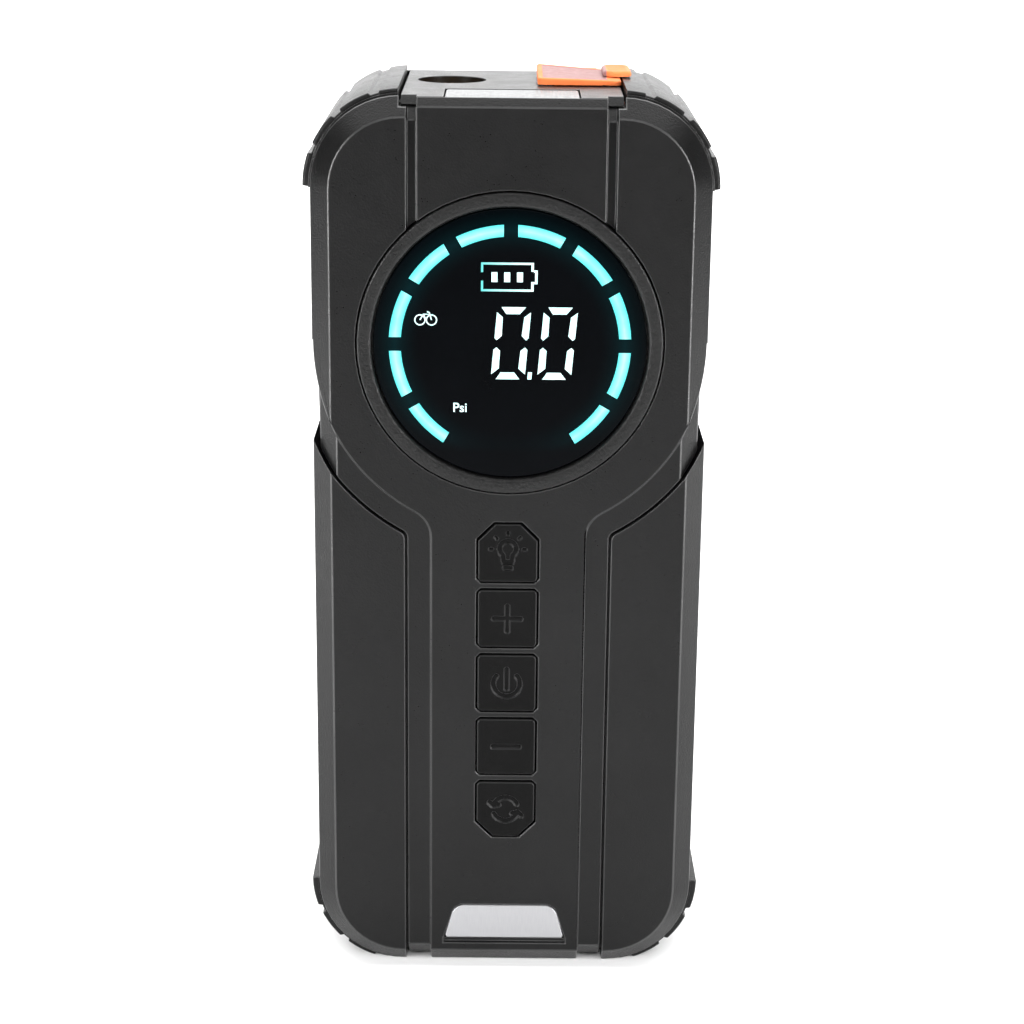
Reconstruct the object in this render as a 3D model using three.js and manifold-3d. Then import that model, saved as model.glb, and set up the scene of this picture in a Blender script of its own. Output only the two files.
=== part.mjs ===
// A hand-held jump starter with a built-in tyre inflator, as an assembly of separate pieces.
// Millimetres, +Z up. The origin is the centre of the base, and the display faces -Y.
import * as THREE from 'three';
import { mergeVertices } from 'three/addons/utils/BufferGeometryUtils.js';
import Module from 'manifold-3d';

const wasm = await Module();
wasm.setup();

// ---------- driving dimensions: casing ----------
const WIDTH = 90;                 // over the casing, without the rubber corners
const DEPTH = 62;
const HEIGHT = 210;
const CORNER_RADIUS = 20.5;       // seen from the front
const EDGE_CHAMFER = 4.3;         // round the front and back faces
const WALL = 4.2;                 // from the outermost skin to the inside
const SEAM_FROM_FRONT = 9;        // where the front shell meets the rear shell
const GAP = 0.3;                  // between pieces that are fitted together
const WAIST_INSET = 1.7;          // how far the sides step in under the display
const CHANNEL_DEPTH = 0.35;       // the same step on the front and back faces
const FACETS = 12;                // straight steps in a casing corner

// ---------- display ----------
const DISPLAY_Z = 154.8;
const DISPLAY_HOLE_RADIUS = 34.9;
const BEZEL_GAP = 0.45;
const BEZEL_PROUD = 0.6;
const BEZEL_WIDTH = 3.25;
const LENS_RECESS = 0.5;
const LENS_THICKNESS = 1.6;
const LENS_SHELF = 1.7;           // how far the bezel reaches in under the lens
const ROUND_FACETS = 56;
const NECK_FACETS = 20;           // in the arc of a neck line

// ---------- neck lines of the lower casing ----------
const RAISED_RADIUS = 44.8;       // of the raised field round the display
const RAISED_HALF_WIDTH = 17.8;   // of the raised strip that carries the buttons
const RAISED_FILLET = 7;
const COVER_TIP_DROP = 22.25;      // from the display's middle to where the covers start at the sides
const COVER_LINE_X = 23.3;
const COVER_FILLET = 2;
const COVER_THICKNESS = 1.8;
const COVER_LINE_GAP = 0.5;
const COVER_BACK_FROM_BACK = 9;

// ---------- corner bumpers ----------
const BUMPER_SUNK = 1.9;          // how deep the rubber sits in its pocket
const FIRST_LUG_PROUD = 1.35;      // the lug beside the top panel
const LUG_PROUD = 1.8;            // the lug furthest from it
const NOTCH_PROUD = 0.9;
const LUG_COUNT = 4;
const LUG_PITCH = 25.5;           // degrees
const LUG_ANGLE = 21;
const FIRST_LUG_END = 104;
const BUMPER_START = 92.3;        // degrees from +X, on the upper left corner
const BUMPER_SETBACK = 4.8;       // from the front and the back face

// ---------- grooves and top bevel of the front shell ----------
const GROOVE_INNER_X = 21.1;
const GROOVE_WIDTH = 2.2;
const GROOVE_DEPTH = 1.8;
const TOP_BEVEL = 2;

// ---------- buttons ----------
const BUTTON_WIDTH = 13.8;
const BUTTON_HEIGHT = 14;
const BUTTON_PITCH = 16.03;
const FIRST_BUTTON_Z = 105.75;
const BUTTON_CUT = 4;             // cut corners of the first and the last button
const BUTTON_CORNER = 1;
const BUTTON_PROUD = 0.3;
const BUTTON_CLEARANCE = 0.35;
const BUTTON_FLANGE = 0.8;
const BUTTON_TRAVEL = 0.8;
const BUTTON_NAMES = ['lamp_button', 'plus_button', 'power_button', 'minus_button', 'mode_button'];

// ---------- trim plate at the foot ----------
const TRIM_LOW_Z = 7.6;
const TRIM_HIGH_Z = 16.2;
const TRIM_LOW_HALF = 14.5;
const TRIM_HIGH_HALF = 12.3;
const TRIM_CORNER = 2.6;
const TRIM_THICKNESS = 1.2;
const TRIM_LEDGE = 1;             // height and depth of the finger ledge under the plate

// ---------- top panel and what comes through it ----------
const PANEL_THICKNESS = 2;
const PANEL_FRONT_FROM_FRONT = 2.3;
const PANEL_BACK_FROM_BACK = 4.8;
const LAMP_HALF_WIDTH = 14.9;
const LAMP_LENGTH = 15.6;
const LAMP_THICKNESS = 2;
const OUTLET_X = -14.1;
const OUTLET_FROM_FRONT = 37.5;
const OUTLET_HOLE_RADIUS = 8;
const OUTLET_BORE_RADIUS = 4.3;
const OUTLET_DEPTH = 15;
const SOCKET_X = 15.4;
const SOCKET_FROM_FRONT = 36.9;
const SOCKET_WIDTH = 14.4;
const SOCKET_LENGTH = 20;
const SOCKET_WALL = 1.3;
const SOCKET_DEPTH = 17;
const CONTACT_RADIUS = 2.8;
const CONTACT_SPACING = 9.6;
const CONTACT_HEIGHT = 8;
const CAP_WIDTH = 19.2;
const CAP_LENGTH = 23.6;
const CAP_THICKNESS = 1.5;
const CAP_SKIRT = 1;
const CAP_SKIRT_DEPTH = 2;
const TAB_WIDTH = 6.6;
const TAB_REACH = 2.6;            // past the cap's side, over the bumper
const TAB_LENGTH = 17;
const TAB_FROM_BACK = 1;
const TAB_THICKNESS = 1.25;

// ---------- charging ports in the back ----------
const PORT_Z = 114;
const FLAP_WIDTH = 22;
const FLAP_HEIGHT = 18;
const FLAP_THICKNESS = 1.6;
const USB_WIDTH = 13.4;
const USB_HEIGHT = 6.4;
const USB_SHELL = 0.6;
const USB_LENGTH = 12;
const USB_A_RISE = 3;             // of its middle over the middle of the flap
const USB_C_DROP = 4.4;
const USB_C_WIDTH = 9;
const USB_C_HEIGHT = 3.4;

// ---------- battery ----------
const CELL_COUNT = 4;
const CELL_WIDTH = 64;
const CELL_THICKNESS = 6.2;
const CELL_HEIGHT = 92;
const TRAY_WALL = 1.6;
const TRAY_HEIGHT = 46;

// ---------- air pump ----------
const MOTOR_RADIUS = 13.5;
const MOTOR_HEIGHT = 42;
const MOTOR_X = -20;
const PUMP_FROM_BACK = 25;
const PUMP_PLATE_Z = 166;
const PUMP_PLATE_THICKNESS = 2;
const GEAR_TEETH = 36;
const PINION_TEETH = 12;
const GEAR_MODULE = 0.9;
const GEAR_BACKLASH = 0.25;
const GEAR_THICKNESS = 3;
const GEAR_AXLE_RADIUS = 2;
const CRANK_RADIUS = 4.5;
const CRANK_PIN_RADIUS = 1.8;
const BORE_RADIUS = 7;
const CYLINDER_WALL = 2.2;
const CYLINDER_LENGTH = 15;

// ---------- fasteners ----------
const SCREW_RADIUS = 2.4;
const SCREW_SHANK_RADIUS = 1.3;
const SCREW_LENGTH = 24;
const SCREW_FROM_SIDE = 9;
const SCREW_FROM_END = 18;

// ---------- derived places ----------
const FRONT = -DEPTH / 2;
const BACK = DEPTH / 2;
const SEAM = FRONT + SEAM_FROM_FRONT;
const CORNER_X = WIDTH / 2 - CORNER_RADIUS;
const INSIDE_X = WIDTH / 2 - WALL;
const INSIDE_FRONT = FRONT + WALL;
const INSIDE_BACK = BACK - WALL;
const CEILING = HEIGHT - WALL;
const PANEL_LOW = HEIGHT - PANEL_THICKNESS;
const PANEL_FRONT = FRONT + PANEL_FRONT_FROM_FRONT;
const PANEL_BACK = BACK - PANEL_BACK_FROM_BACK;
const OUTLET_Y = FRONT + OUTLET_FROM_FRONT;
const SOCKET_Y = FRONT + SOCKET_FROM_FRONT;
const PUMP_Y = BACK - PUMP_FROM_BACK;
const LENS_RADIUS = DISPLAY_HOLE_RADIUS - BEZEL_GAP - BEZEL_WIDTH - GAP;
const COVER_RADIUS = Math.hypot(WIDTH / 2, COVER_TIP_DROP);
const COVER_BACK = BACK - COVER_BACK_FROM_BACK;
const GEAR_RADIUS = GEAR_TEETH * GEAR_MODULE / 2;
const PINION_RADIUS = PINION_TEETH * GEAR_MODULE / 2;
const GEAR_X = MOTOR_X + GEAR_RADIUS + PINION_RADIUS + GEAR_BACKLASH;
const FAR = 400;                  // past everything, for cutting tools

// ---------- outlines ----------
const degrees = THREE.MathUtils.degToRad;

// Points on an arc from one angle to another, in steps of equal angle.
function arc(x, y, radius, from, to, steps) {
  const points = [];
  for (let i = 0; i <= steps; i += 1) {
    const angle = degrees(from + (to - from) * i / steps);
    points.push(new THREE.Vector2(x + radius * Math.cos(angle), y + radius * Math.sin(angle)));
  }
  return points;
}

function circle(x, y, radius, steps = ROUND_FACETS) {
  return arc(x, y, radius, 0, 360 - 360 / steps, steps - 1);
}

function roundedRectangle(x0, x1, y0, y1, radius, steps = FACETS) {
  return [
    ...arc(x1 - radius, y0 + radius, radius, -90, 0, steps),
    ...arc(x1 - radius, y1 - radius, radius, 0, 90, steps),
    ...arc(x0 + radius, y1 - radius, radius, 90, 180, steps),
    ...arc(x0 + radius, y0 + radius, radius, 180, 270, steps),
  ];
}

const mirrored = (points) => points.map((p) => new THREE.Vector2(-p.x, p.y));

// ---------- solids ----------
const AXES = {
  x: [new THREE.Vector3(0, 1, 0), new THREE.Vector3(0, 0, 1), new THREE.Vector3(1, 0, 0)],
  y: [new THREE.Vector3(1, 0, 0), new THREE.Vector3(0, 0, 1), new THREE.Vector3(0, -1, 0)],
  z: [new THREE.Vector3(1, 0, 0), new THREE.Vector3(0, 1, 0), new THREE.Vector3(0, 0, 1)],
};

// A prism of an outline between two places on an axis. The outline is (Y, Z) along x,
// (X, Z) along y and (X, Y) along z. A chamfer cuts the edges of both end faces.
function prism(points, axis, low, high, chamfer = 0) {
  const geometry = new THREE.ExtrudeGeometry(new THREE.Shape(points), {
    depth: high - low - 2 * chamfer,
    bevelEnabled: chamfer > 0,
    bevelSize: chamfer,
    bevelOffset: -chamfer,
    bevelThickness: chamfer,
    bevelSegments: 1,
  });
  geometry.translate(0, 0, axis === 'y' ? chamfer - high : low + chamfer);
  geometry.applyMatrix4(new THREE.Matrix4().makeBasis(...AXES[axis]));
  return solid(geometry);
}

function block(x0, x1, y0, y1, z0, z1) {
  const geometry = new THREE.BoxGeometry(x1 - x0, y1 - y0, z1 - z0);
  geometry.translate((x0 + x1) / 2, (y0 + y1) / 2, (z0 + z1) / 2);
  return solid(geometry);
}

// A ring or disc turned about the depth axis through (x, z). The profile is (radius, Y), closed.
function turned(profile, x, z, steps = ROUND_FACETS) {
  const points = profile.map(([radius, y]) => new THREE.Vector2(radius, y));
  const geometry = new THREE.LatheGeometry(points, steps);
  geometry.translate(x, 0, z);
  return solid(geometry);
}

function solid(geometry) {
  geometry.deleteAttribute('normal');
  geometry.deleteAttribute('uv');
  const merged = mergeVertices(geometry, 1e-4);
  const body = new wasm.Manifold(new wasm.Mesh({
    numProp: 3,
    vertProperties: new Float32Array(merged.attributes.position.array),
    triVerts: new Uint32Array(merged.index.array),
  }));
  return body;
}

const join = (...solids) => solids.reduce((a, b) => a.add(b));
const cut = (body, ...tools) => tools.reduce((a, b) => a.subtract(b), body);

// ---------- materials ----------
const finish = (color, roughness, metalness = 0) =>
  new THREE.MeshStandardMaterial({ color, roughness, metalness });
const FINISHES = {
  casing: [0x2b2b2c, 0.55],
  bumper: [0x141414, 0.8],
  bezel: [0x1a1a1b, 0.6],
  glass: [0x05070a, 0.08],
  rubber: [0x171717, 0.85],
  orange: [0xf06a2a, 0.55],
  silver: [0xc9cacb, 0.35, 0.8],
  frosted: [0xe6e8ea, 0.4],
  board: [0x12502f, 0.5],
  cell: [0x9aa3ad, 0.45, 0.3],
  plastic: [0x3a3d40, 0.6],
  brass: [0xb8923e, 0.3, 0.9],
  steel: [0x9b9da0, 0.35, 0.9],
  nylon: [0xe2dfd2, 0.5],
  label: [0x55585b, 0.6],
};

const assembly = new THREE.Group();

// Adds a piece to the assembly. Its position is the middle of its base, and the geometry is local.
function place(name, body, finishName) {
  const mesh = body.getMesh();
  const geometry = new THREE.BufferGeometry();
  geometry.setAttribute('position', new THREE.BufferAttribute(mesh.vertProperties, 3));
  geometry.setIndex(new THREE.BufferAttribute(mesh.triVerts, 1));
  geometry.computeBoundingBox();
  const origin = geometry.boundingBox.getCenter(new THREE.Vector3());
  origin.z = geometry.boundingBox.min.z;
  geometry.translate(-origin.x, -origin.y, -origin.z);
  geometry.computeVertexNormals();
  const piece = new THREE.Mesh(geometry, finish(...FINISHES[finishName]));
  piece.name = name;
  piece.position.copy(origin);
  assembly.add(piece);
}

// ---------- casing forms ----------
// The casing's outer form, taken in by one amount at the sides and another at the faces.
function casingForm(side, face, chamfer) {
  const outline = roundedRectangle(
    side - WIDTH / 2, WIDTH / 2 - side, side, HEIGHT - side, CORNER_RADIUS - side);
  return prism(outline, 'y', FRONT + face, BACK - face, chamfer);
}

// The form at an even depth under the skin. The chamfer narrows as the form shrinks.
const formAtDepth = (depth) =>
  casingForm(depth, depth, Math.max(0.5, EDGE_CHAMFER - depth * (2 - Math.SQRT2)));

// A neck line on the left: an arc round the display, a fillet and a straight line to the foot.
function neckLine(radius, lineX, fillet, startAngle) {
  const centreX = -(lineX + fillet);
  const centreZ = DISPLAY_Z - Math.sqrt((radius + fillet) ** 2 - centreX ** 2);
  const bearing = THREE.MathUtils.radToDeg(Math.atan2(centreZ - DISPLAY_Z, centreX)) + 360;
  return [
    ...arc(0, DISPLAY_Z, radius, startAngle, bearing, NECK_FACETS),
    ...arc(centreX, centreZ, fillet, bearing - 180, 0, FACETS / 2),
    new THREE.Vector2(-lineX, -FAR),
  ];
}

// The raised field: everything above the display's middle, the disc round it, and the strip.
function raisedOutline() {
  const left = neckLine(RAISED_RADIUS, RAISED_HALF_WIDTH, RAISED_FILLET, 180);
  return [
    new THREE.Vector2(FAR, HEIGHT + FAR),
    new THREE.Vector2(-FAR, HEIGHT + FAR),
    new THREE.Vector2(-FAR, DISPLAY_Z),
    ...left,
    ...mirrored(left).reverse(),
    new THREE.Vector2(FAR, DISPLAY_Z),
  ];
}

// The area of one lower side cover, shrunk along its neck line by the margin.
function coverOutline(margin) {
  const radius = COVER_RADIUS + margin;
  const startAngle = 180 + THREE.MathUtils.radToDeg(Math.acos((WIDTH / 2 + 2) / radius));
  const line = neckLine(radius, COVER_LINE_X + margin, COVER_FILLET, startAngle);
  return [new THREE.Vector2(-FAR, line[0].y), ...line, new THREE.Vector2(-FAR, -FAR)];
}

function bumperPath(radius, from, to, steps) {
  return arc(-CORNER_X, HEIGHT - CORNER_RADIUS, radius, from, to, steps);
}

const BUMPER_END = FIRST_LUG_END + LUG_PITCH * (LUG_COUNT - 1);

// The upper left bumper: lugs over a band, seen from the front.
function bumperOutline() {
  const outside = [];
  const lugStep = (LUG_PROUD - FIRST_LUG_PROUD) / (LUG_COUNT - 1);
  const notchRadius = CORNER_RADIUS + NOTCH_PROUD;
  for (let i = 0; i < LUG_COUNT; i += 1) {
    const end = FIRST_LUG_END + LUG_PITCH * i;
    const start = Math.max(BUMPER_START, end - LUG_ANGLE);
    const lugRadius = CORNER_RADIUS + FIRST_LUG_PROUD + lugStep * i;
    if (i > 0) outside.push(...bumperPath(notchRadius, start - 1.5, start - 1.5, 1).slice(1));
    outside.push(...bumperPath(lugRadius, start, end, 4));
    if (i < LUG_COUNT - 1) outside.push(...bumperPath(notchRadius, end + 0.8, end + 0.8, 1).slice(1));
  }
  const inside = bumperPath(CORNER_RADIUS - BUMPER_SUNK, BUMPER_START, BUMPER_END, FACETS);
  return [...outside, ...inside.reverse()];
}

// The pocket that the upper left bumper sits in.
function bumperPocketOutline() {
  const margin = THREE.MathUtils.radToDeg(GAP / CORNER_RADIUS);
  const floor = CORNER_RADIUS - BUMPER_SUNK - GAP;
  return [
    ...bumperPath(floor, BUMPER_START - margin, BUMPER_END + margin, FACETS),
    ...bumperPath(CORNER_RADIUS + 8, BUMPER_END + margin, BUMPER_START - margin, FACETS),
  ];
}

// All four corners of a shape drawn at the upper left one.
function fourCorners(outline) {
  const lower = outline.map((p) => new THREE.Vector2(p.x, HEIGHT - p.y));
  return {
    top_left: outline,
    top_right: mirrored(outline),
    bottom_left: lower,
    bottom_right: mirrored(lower),
  };
}

const buttonZ = (index) => FIRST_BUTTON_Z - BUTTON_PITCH * index;

// A button's outline, grown by a margin. The first has cut upper corners, the last cut lower ones.
function buttonOutline(index, margin) {
  const x = BUTTON_WIDTH / 2 + margin;
  const z = BUTTON_HEIGHT / 2 + margin;
  const top = index === 0 ? BUTTON_CUT : BUTTON_CORNER;
  const foot = index === BUTTON_NAMES.length - 1 ? BUTTON_CUT : BUTTON_CORNER;
  const middle = buttonZ(index);
  return [
    [foot - x, -z], [x - foot, -z], [x, foot - z], [x, z - top],
    [x - top, z], [top - x, z], [-x, z - top], [-x, foot - z],
  ].map(([u, v]) => new THREE.Vector2(u, middle + v));
}

// The trim plate's outline, grown by a margin: sloping sides and round upper corners.
function trimOutline(margin) {
  const lowHalf = TRIM_LOW_HALF + margin;
  const highHalf = TRIM_HIGH_HALF + margin;
  const low = TRIM_LOW_Z - margin;
  const high = TRIM_HIGH_Z + margin;
  const right = [
    new THREE.Vector2(lowHalf, low),
    ...arc(highHalf - TRIM_CORNER, high - TRIM_CORNER, TRIM_CORNER, 15, 90, 4),
  ];
  return [...right, ...mirrored(right).reverse()];
}

// ---------- casing pieces ----------
function casingSkin() {
  const raised = casingForm(0, 0, EDGE_CHAMFER).intersect(prism(raisedOutline(), 'y', -FAR, FAR));
  const waist = casingForm(WAIST_INSET, CHANNEL_DEPTH, EDGE_CHAMFER - CHANNEL_DEPTH);
  return join(raised, waist);
}

// Pockets cut into both shells: side covers, bumpers, top panel and what passes through it.
function sharedPockets() {
  const coverFloor = formAtDepth(COVER_THICKNESS + GAP);
  const coverBack = COVER_BACK + GAP;
  const left = coverOutline(0);
  const pockets = [left, mirrored(left)].map((outline) =>
    cut(prism(outline, 'y', -FAR, coverBack), coverFloor));
  for (const outline of Object.values(fourCorners(bumperPocketOutline()))) {
    pockets.push(prism(outline, 'y', FRONT + BUMPER_SETBACK, BACK - BUMPER_SETBACK));
  }
  const panelHalf = panelHalfWidth() + GAP;
  pockets.push(block(-panelHalf, panelHalf, PANEL_FRONT - GAP, PANEL_BACK + GAP, PANEL_LOW - GAP, FAR));
  pockets.push(block(
    -LAMP_HALF_WIDTH - GAP, LAMP_HALF_WIDTH + GAP, PANEL_FRONT - GAP, PANEL_FRONT + LAMP_LENGTH + GAP,
    CEILING - FAR, FAR).intersect(block(-FAR, FAR, -FAR, FAR, CEILING - 8, FAR)));
  pockets.push(prism(circle(OUTLET_X, OUTLET_Y, OUTLET_HOLE_RADIUS, 24), 'z', CEILING - 6, FAR));
  pockets.push(socketBlock(GAP, CEILING - 6, FAR));
  return pockets;
}

// The top panel ends where the bumpers begin.
function panelHalfWidth() {
  const start = bumperPath(CORNER_RADIUS, BUMPER_START, BUMPER_START, 1)[0];
  return -start.x - 2 * GAP;
}

function socketBlock(margin, low, high) {
  return block(
    SOCKET_X - SOCKET_WIDTH / 2 - margin, SOCKET_X + SOCKET_WIDTH / 2 + margin,
    SOCKET_Y - SOCKET_LENGTH / 2 - margin, SOCKET_Y + SOCKET_LENGTH / 2 + margin, low, high);
}

function frontShell() {
  const cavity = formAtDepth(WALL);
  const bevelBlock = prism([
    new THREE.Vector2(FRONT, DISPLAY_Z), new THREE.Vector2(FRONT + WALL, DISPLAY_Z),
    new THREE.Vector2(FRONT + WALL, HEIGHT), new THREE.Vector2(FRONT + TOP_BEVEL, HEIGHT),
    new THREE.Vector2(FRONT, HEIGHT - TOP_BEVEL),
  ], 'x', -GROOVE_INNER_X, GROOVE_INNER_X);
  const grooveFloor = formAtDepth(GROOVE_DEPTH);
  const grooves = [-1, 1].map((side) => {
    const inner = side * GROOVE_INNER_X;
    const outer = side * (GROOVE_INNER_X + GROOVE_WIDTH);
    const strip = block(Math.min(inner, outer), Math.max(inner, outer), -FAR, SEAM, DISPLAY_Z, FAR);
    return cut(strip, grooveFloor);
  });
  const buttonHoles = BUTTON_NAMES.map((_, i) =>
    prism(buttonOutline(i, BUTTON_CLEARANCE), 'y', -FAR, 0));
  return cut(
    join(casingSkin(), bevelBlock),
    cavity,
    block(-FAR, FAR, SEAM - GAP / 2, FAR, -FAR, FAR),
    ...grooves,
    prism(circle(0, DISPLAY_Z, DISPLAY_HOLE_RADIUS), 'y', -FAR, 0),
    ...buttonHoles,
    prism(trimOutline(GAP), 'y', -FAR, FRONT + TRIM_THICKNESS + GAP),
    block(-TRIM_LOW_HALF - GAP, TRIM_LOW_HALF + GAP, -FAR, FRONT + TRIM_LEDGE,
      TRIM_LOW_Z - GAP - TRIM_LEDGE, TRIM_LOW_Z),
    ...sharedPockets(),
  );
}

const VENT_COUNT = 6;
const VENT_PITCH = 5;
const VENT_HEIGHT = 2.2;
const VENT_HALF_WIDTH = 16;
const LABEL_WIDTH = 52;
const LABEL_LOW_Z = 34;
const LABEL_HIGH_Z = 92;
const LABEL_THICKNESS = 0.8;

const screwX = WIDTH / 2 - SCREW_FROM_SIDE;
const screwPlaces = [
  ['case_screw_lower_left', -screwX, SCREW_FROM_END],
  ['case_screw_lower_right', screwX, SCREW_FROM_END],
  ['case_screw_upper_left', -screwX, HEIGHT - SCREW_FROM_END],
  ['case_screw_upper_right', screwX, HEIGHT - SCREW_FROM_END],
];

function rearShell() {
  const vents = [];
  for (let i = 0; i < VENT_COUNT; i += 1) {
    const z = DISPLAY_Z - 14 + VENT_PITCH * i;
    vents.push(block(-VENT_HALF_WIDTH, VENT_HALF_WIDTH, 0, FAR, z, z + VENT_HEIGHT));
  }
  const screwHoles = screwPlaces.flatMap(([, x, z]) => [
    prism(circle(x, z, SCREW_RADIUS + GAP, 12), 'y', BACK - 2.4, FAR),
    prism(circle(x, z, SCREW_SHANK_RADIUS + GAP, 12), 'y', 0, FAR),
  ]);
  const labelHalf = LABEL_WIDTH / 2 + GAP;
  const labelPocket = block(-labelHalf, labelHalf, BACK - CHANNEL_DEPTH - LABEL_THICKNESS - GAP, FAR,
    LABEL_LOW_Z - GAP, LABEL_HIGH_Z + GAP);
  return cut(
    casingSkin(),
    formAtDepth(WALL),
    block(-FAR, FAR, -FAR, SEAM + GAP / 2, -FAR, FAR),
    ...vents,
    ...screwHoles,
    labelPocket,
    flapBlock(GAP, BACK - FLAP_THICKNESS - GAP, FAR),
    portWindow(),
    ...sharedPockets(),
  );
}

function sideCover(side) {
  const outline = coverOutline(COVER_LINE_GAP);
  const area = side < 0 ? outline : mirrored(outline);
  const pockets = Object.values(fourCorners(bumperPocketOutline()))
    .map((o) => prism(o, 'y', FRONT + BUMPER_SETBACK, BACK - BUMPER_SETBACK));
  return cut(
    casingForm(0, 0, EDGE_CHAMFER).intersect(prism(area, 'y', -FAR, COVER_BACK)),
    formAtDepth(COVER_THICKNESS),
    ...pockets,
  );
}

function bumper(outline) {
  const band = prism(outline, 'y', FRONT + BUMPER_SETBACK + GAP, BACK - BUMPER_SETBACK - GAP);
  return band.intersect(block(-FAR, FAR, -FAR, FAR, 0, FAR));
}

// Beside the centre strip the panel's front edge lies back by the depth of the grooves.
function topPanel() {
  const half = panelHalfWidth();
  const strip = block(-GROOVE_INNER_X, GROOVE_INNER_X, FRONT, BACK, PANEL_LOW, HEIGHT);
  const outline = roundedRectangle(-WIDTH / 2, WIDTH / 2, 0, HEIGHT, CORNER_RADIUS);
  const form = prism(outline, 'y', FRONT + GROOVE_DEPTH, BACK, EDGE_CHAMFER);
  const lampHalf = LAMP_HALF_WIDTH + GAP;
  return cut(
    block(-half, half, PANEL_FRONT, PANEL_BACK, PANEL_LOW, HEIGHT),
    block(-lampHalf, lampHalf, -FAR, PANEL_FRONT + LAMP_LENGTH + GAP, -FAR, FAR),
    prism(circle(OUTLET_X, OUTLET_Y, OUTLET_HOLE_RADIUS, 24), 'z', -FAR, FAR),
    socketBlock(GAP, -FAR, FAR),
  ).intersect(join(form, strip));
}

function casing() {
  place('front_shell', frontShell(), 'casing');
  place('rear_shell', rearShell(), 'casing');
  place('lower_cover_left', sideCover(-1), 'casing');
  place('lower_cover_right', sideCover(1), 'casing');
  place('top_panel', topPanel(), 'casing');
  for (const [corner, outline] of Object.entries(fourCorners(bumperOutline()))) {
    place(`bumper_${corner}`, bumper(outline), 'bumper');
  }
  const trim = prism(trimOutline(0), 'y', FRONT, FRONT + TRIM_THICKNESS);
  place('foot_trim_plate', trim, 'silver');
  const labelBack = BACK - CHANNEL_DEPTH;
  place('rear_label', block(-LABEL_WIDTH / 2, LABEL_WIDTH / 2, labelBack - LABEL_THICKNESS, labelBack,
    LABEL_LOW_Z, LABEL_HIGH_Z), 'label');
  for (const [name, x, z] of screwPlaces) {
    const head = prism(circle(x, z, SCREW_RADIUS, 12), 'y', BACK - 2.1, BACK - 0.8);
    const shank = prism(circle(x, z, SCREW_SHANK_RADIUS, 12), 'y', BACK - SCREW_LENGTH, BACK - 1.5);
    place(name, join(head, shank), 'steel');
  }
}

// ---------- display ----------
function display() {
  const outer = DISPLAY_HOLE_RADIUS - BEZEL_GAP;
  const face = FRONT - BEZEL_PROUD;
  const lensFront = FRONT + LENS_RECESS;
  const lensBack = lensFront + LENS_THICKNESS;
  const inner = LENS_RADIUS + GAP;
  const shelf = LENS_RADIUS - LENS_SHELF;
  const back = INSIDE_FRONT - GAP;
  place('bezel_ring', turned([
    [inner, lensBack + GAP], [inner, face], [outer - 0.6, face], [outer, face + 0.6],
    [outer, back], [shelf, back], [shelf, lensBack + GAP], [inner, lensBack + GAP],
  ], 0, DISPLAY_Z), 'bezel');
  place('display_lens', prism(circle(0, DISPLAY_Z, LENS_RADIUS), 'y', lensFront, lensBack), 'glass');
  const guideOuter = shelf - GAP;
  const guideBack = back;
  place('light_guide', turned([
    [guideOuter - 5, lensBack + GAP], [guideOuter, lensBack + GAP], [guideOuter, guideBack],
    [guideOuter - 5, guideBack], [guideOuter - 5, lensBack + GAP],
  ], 0, DISPLAY_Z, 32), 'frosted');
  const boardFront = back + GAP;
  place('display_board', prism(circle(0, DISPLAY_Z, outer - 1, 32), 'y', boardFront, boardFront + 1.6),
    'board');
}

// ---------- buttons ----------
function buttons() {
  const stemBack = INSIDE_FRONT + GAP;
  const flangeBack = stemBack + 1;
  BUTTON_NAMES.forEach((name, i) => {
    const key = prism(buttonOutline(i, 0), 'y', FRONT - BUTTON_PROUD, stemBack);
    const flange = prism(buttonOutline(i, BUTTON_FLANGE), 'y', stemBack, flangeBack);
    place(name, join(key, flange), 'rubber');
  });
  const boardFront = flangeBack + BUTTON_TRAVEL + 0.8;
  const last = buttonZ(BUTTON_NAMES.length - 1);
  const board = block(-12, 12, boardFront, boardFront + 1.6, last - 10, FIRST_BUTTON_Z + 9.5);
  const switches = BUTTON_NAMES.map((_, i) =>
    prism(circle(0, buttonZ(i), 2.5, 12), 'y', boardFront - 0.5, boardFront + 0.5));
  place('key_board', join(board, ...switches), 'board');
}

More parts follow.
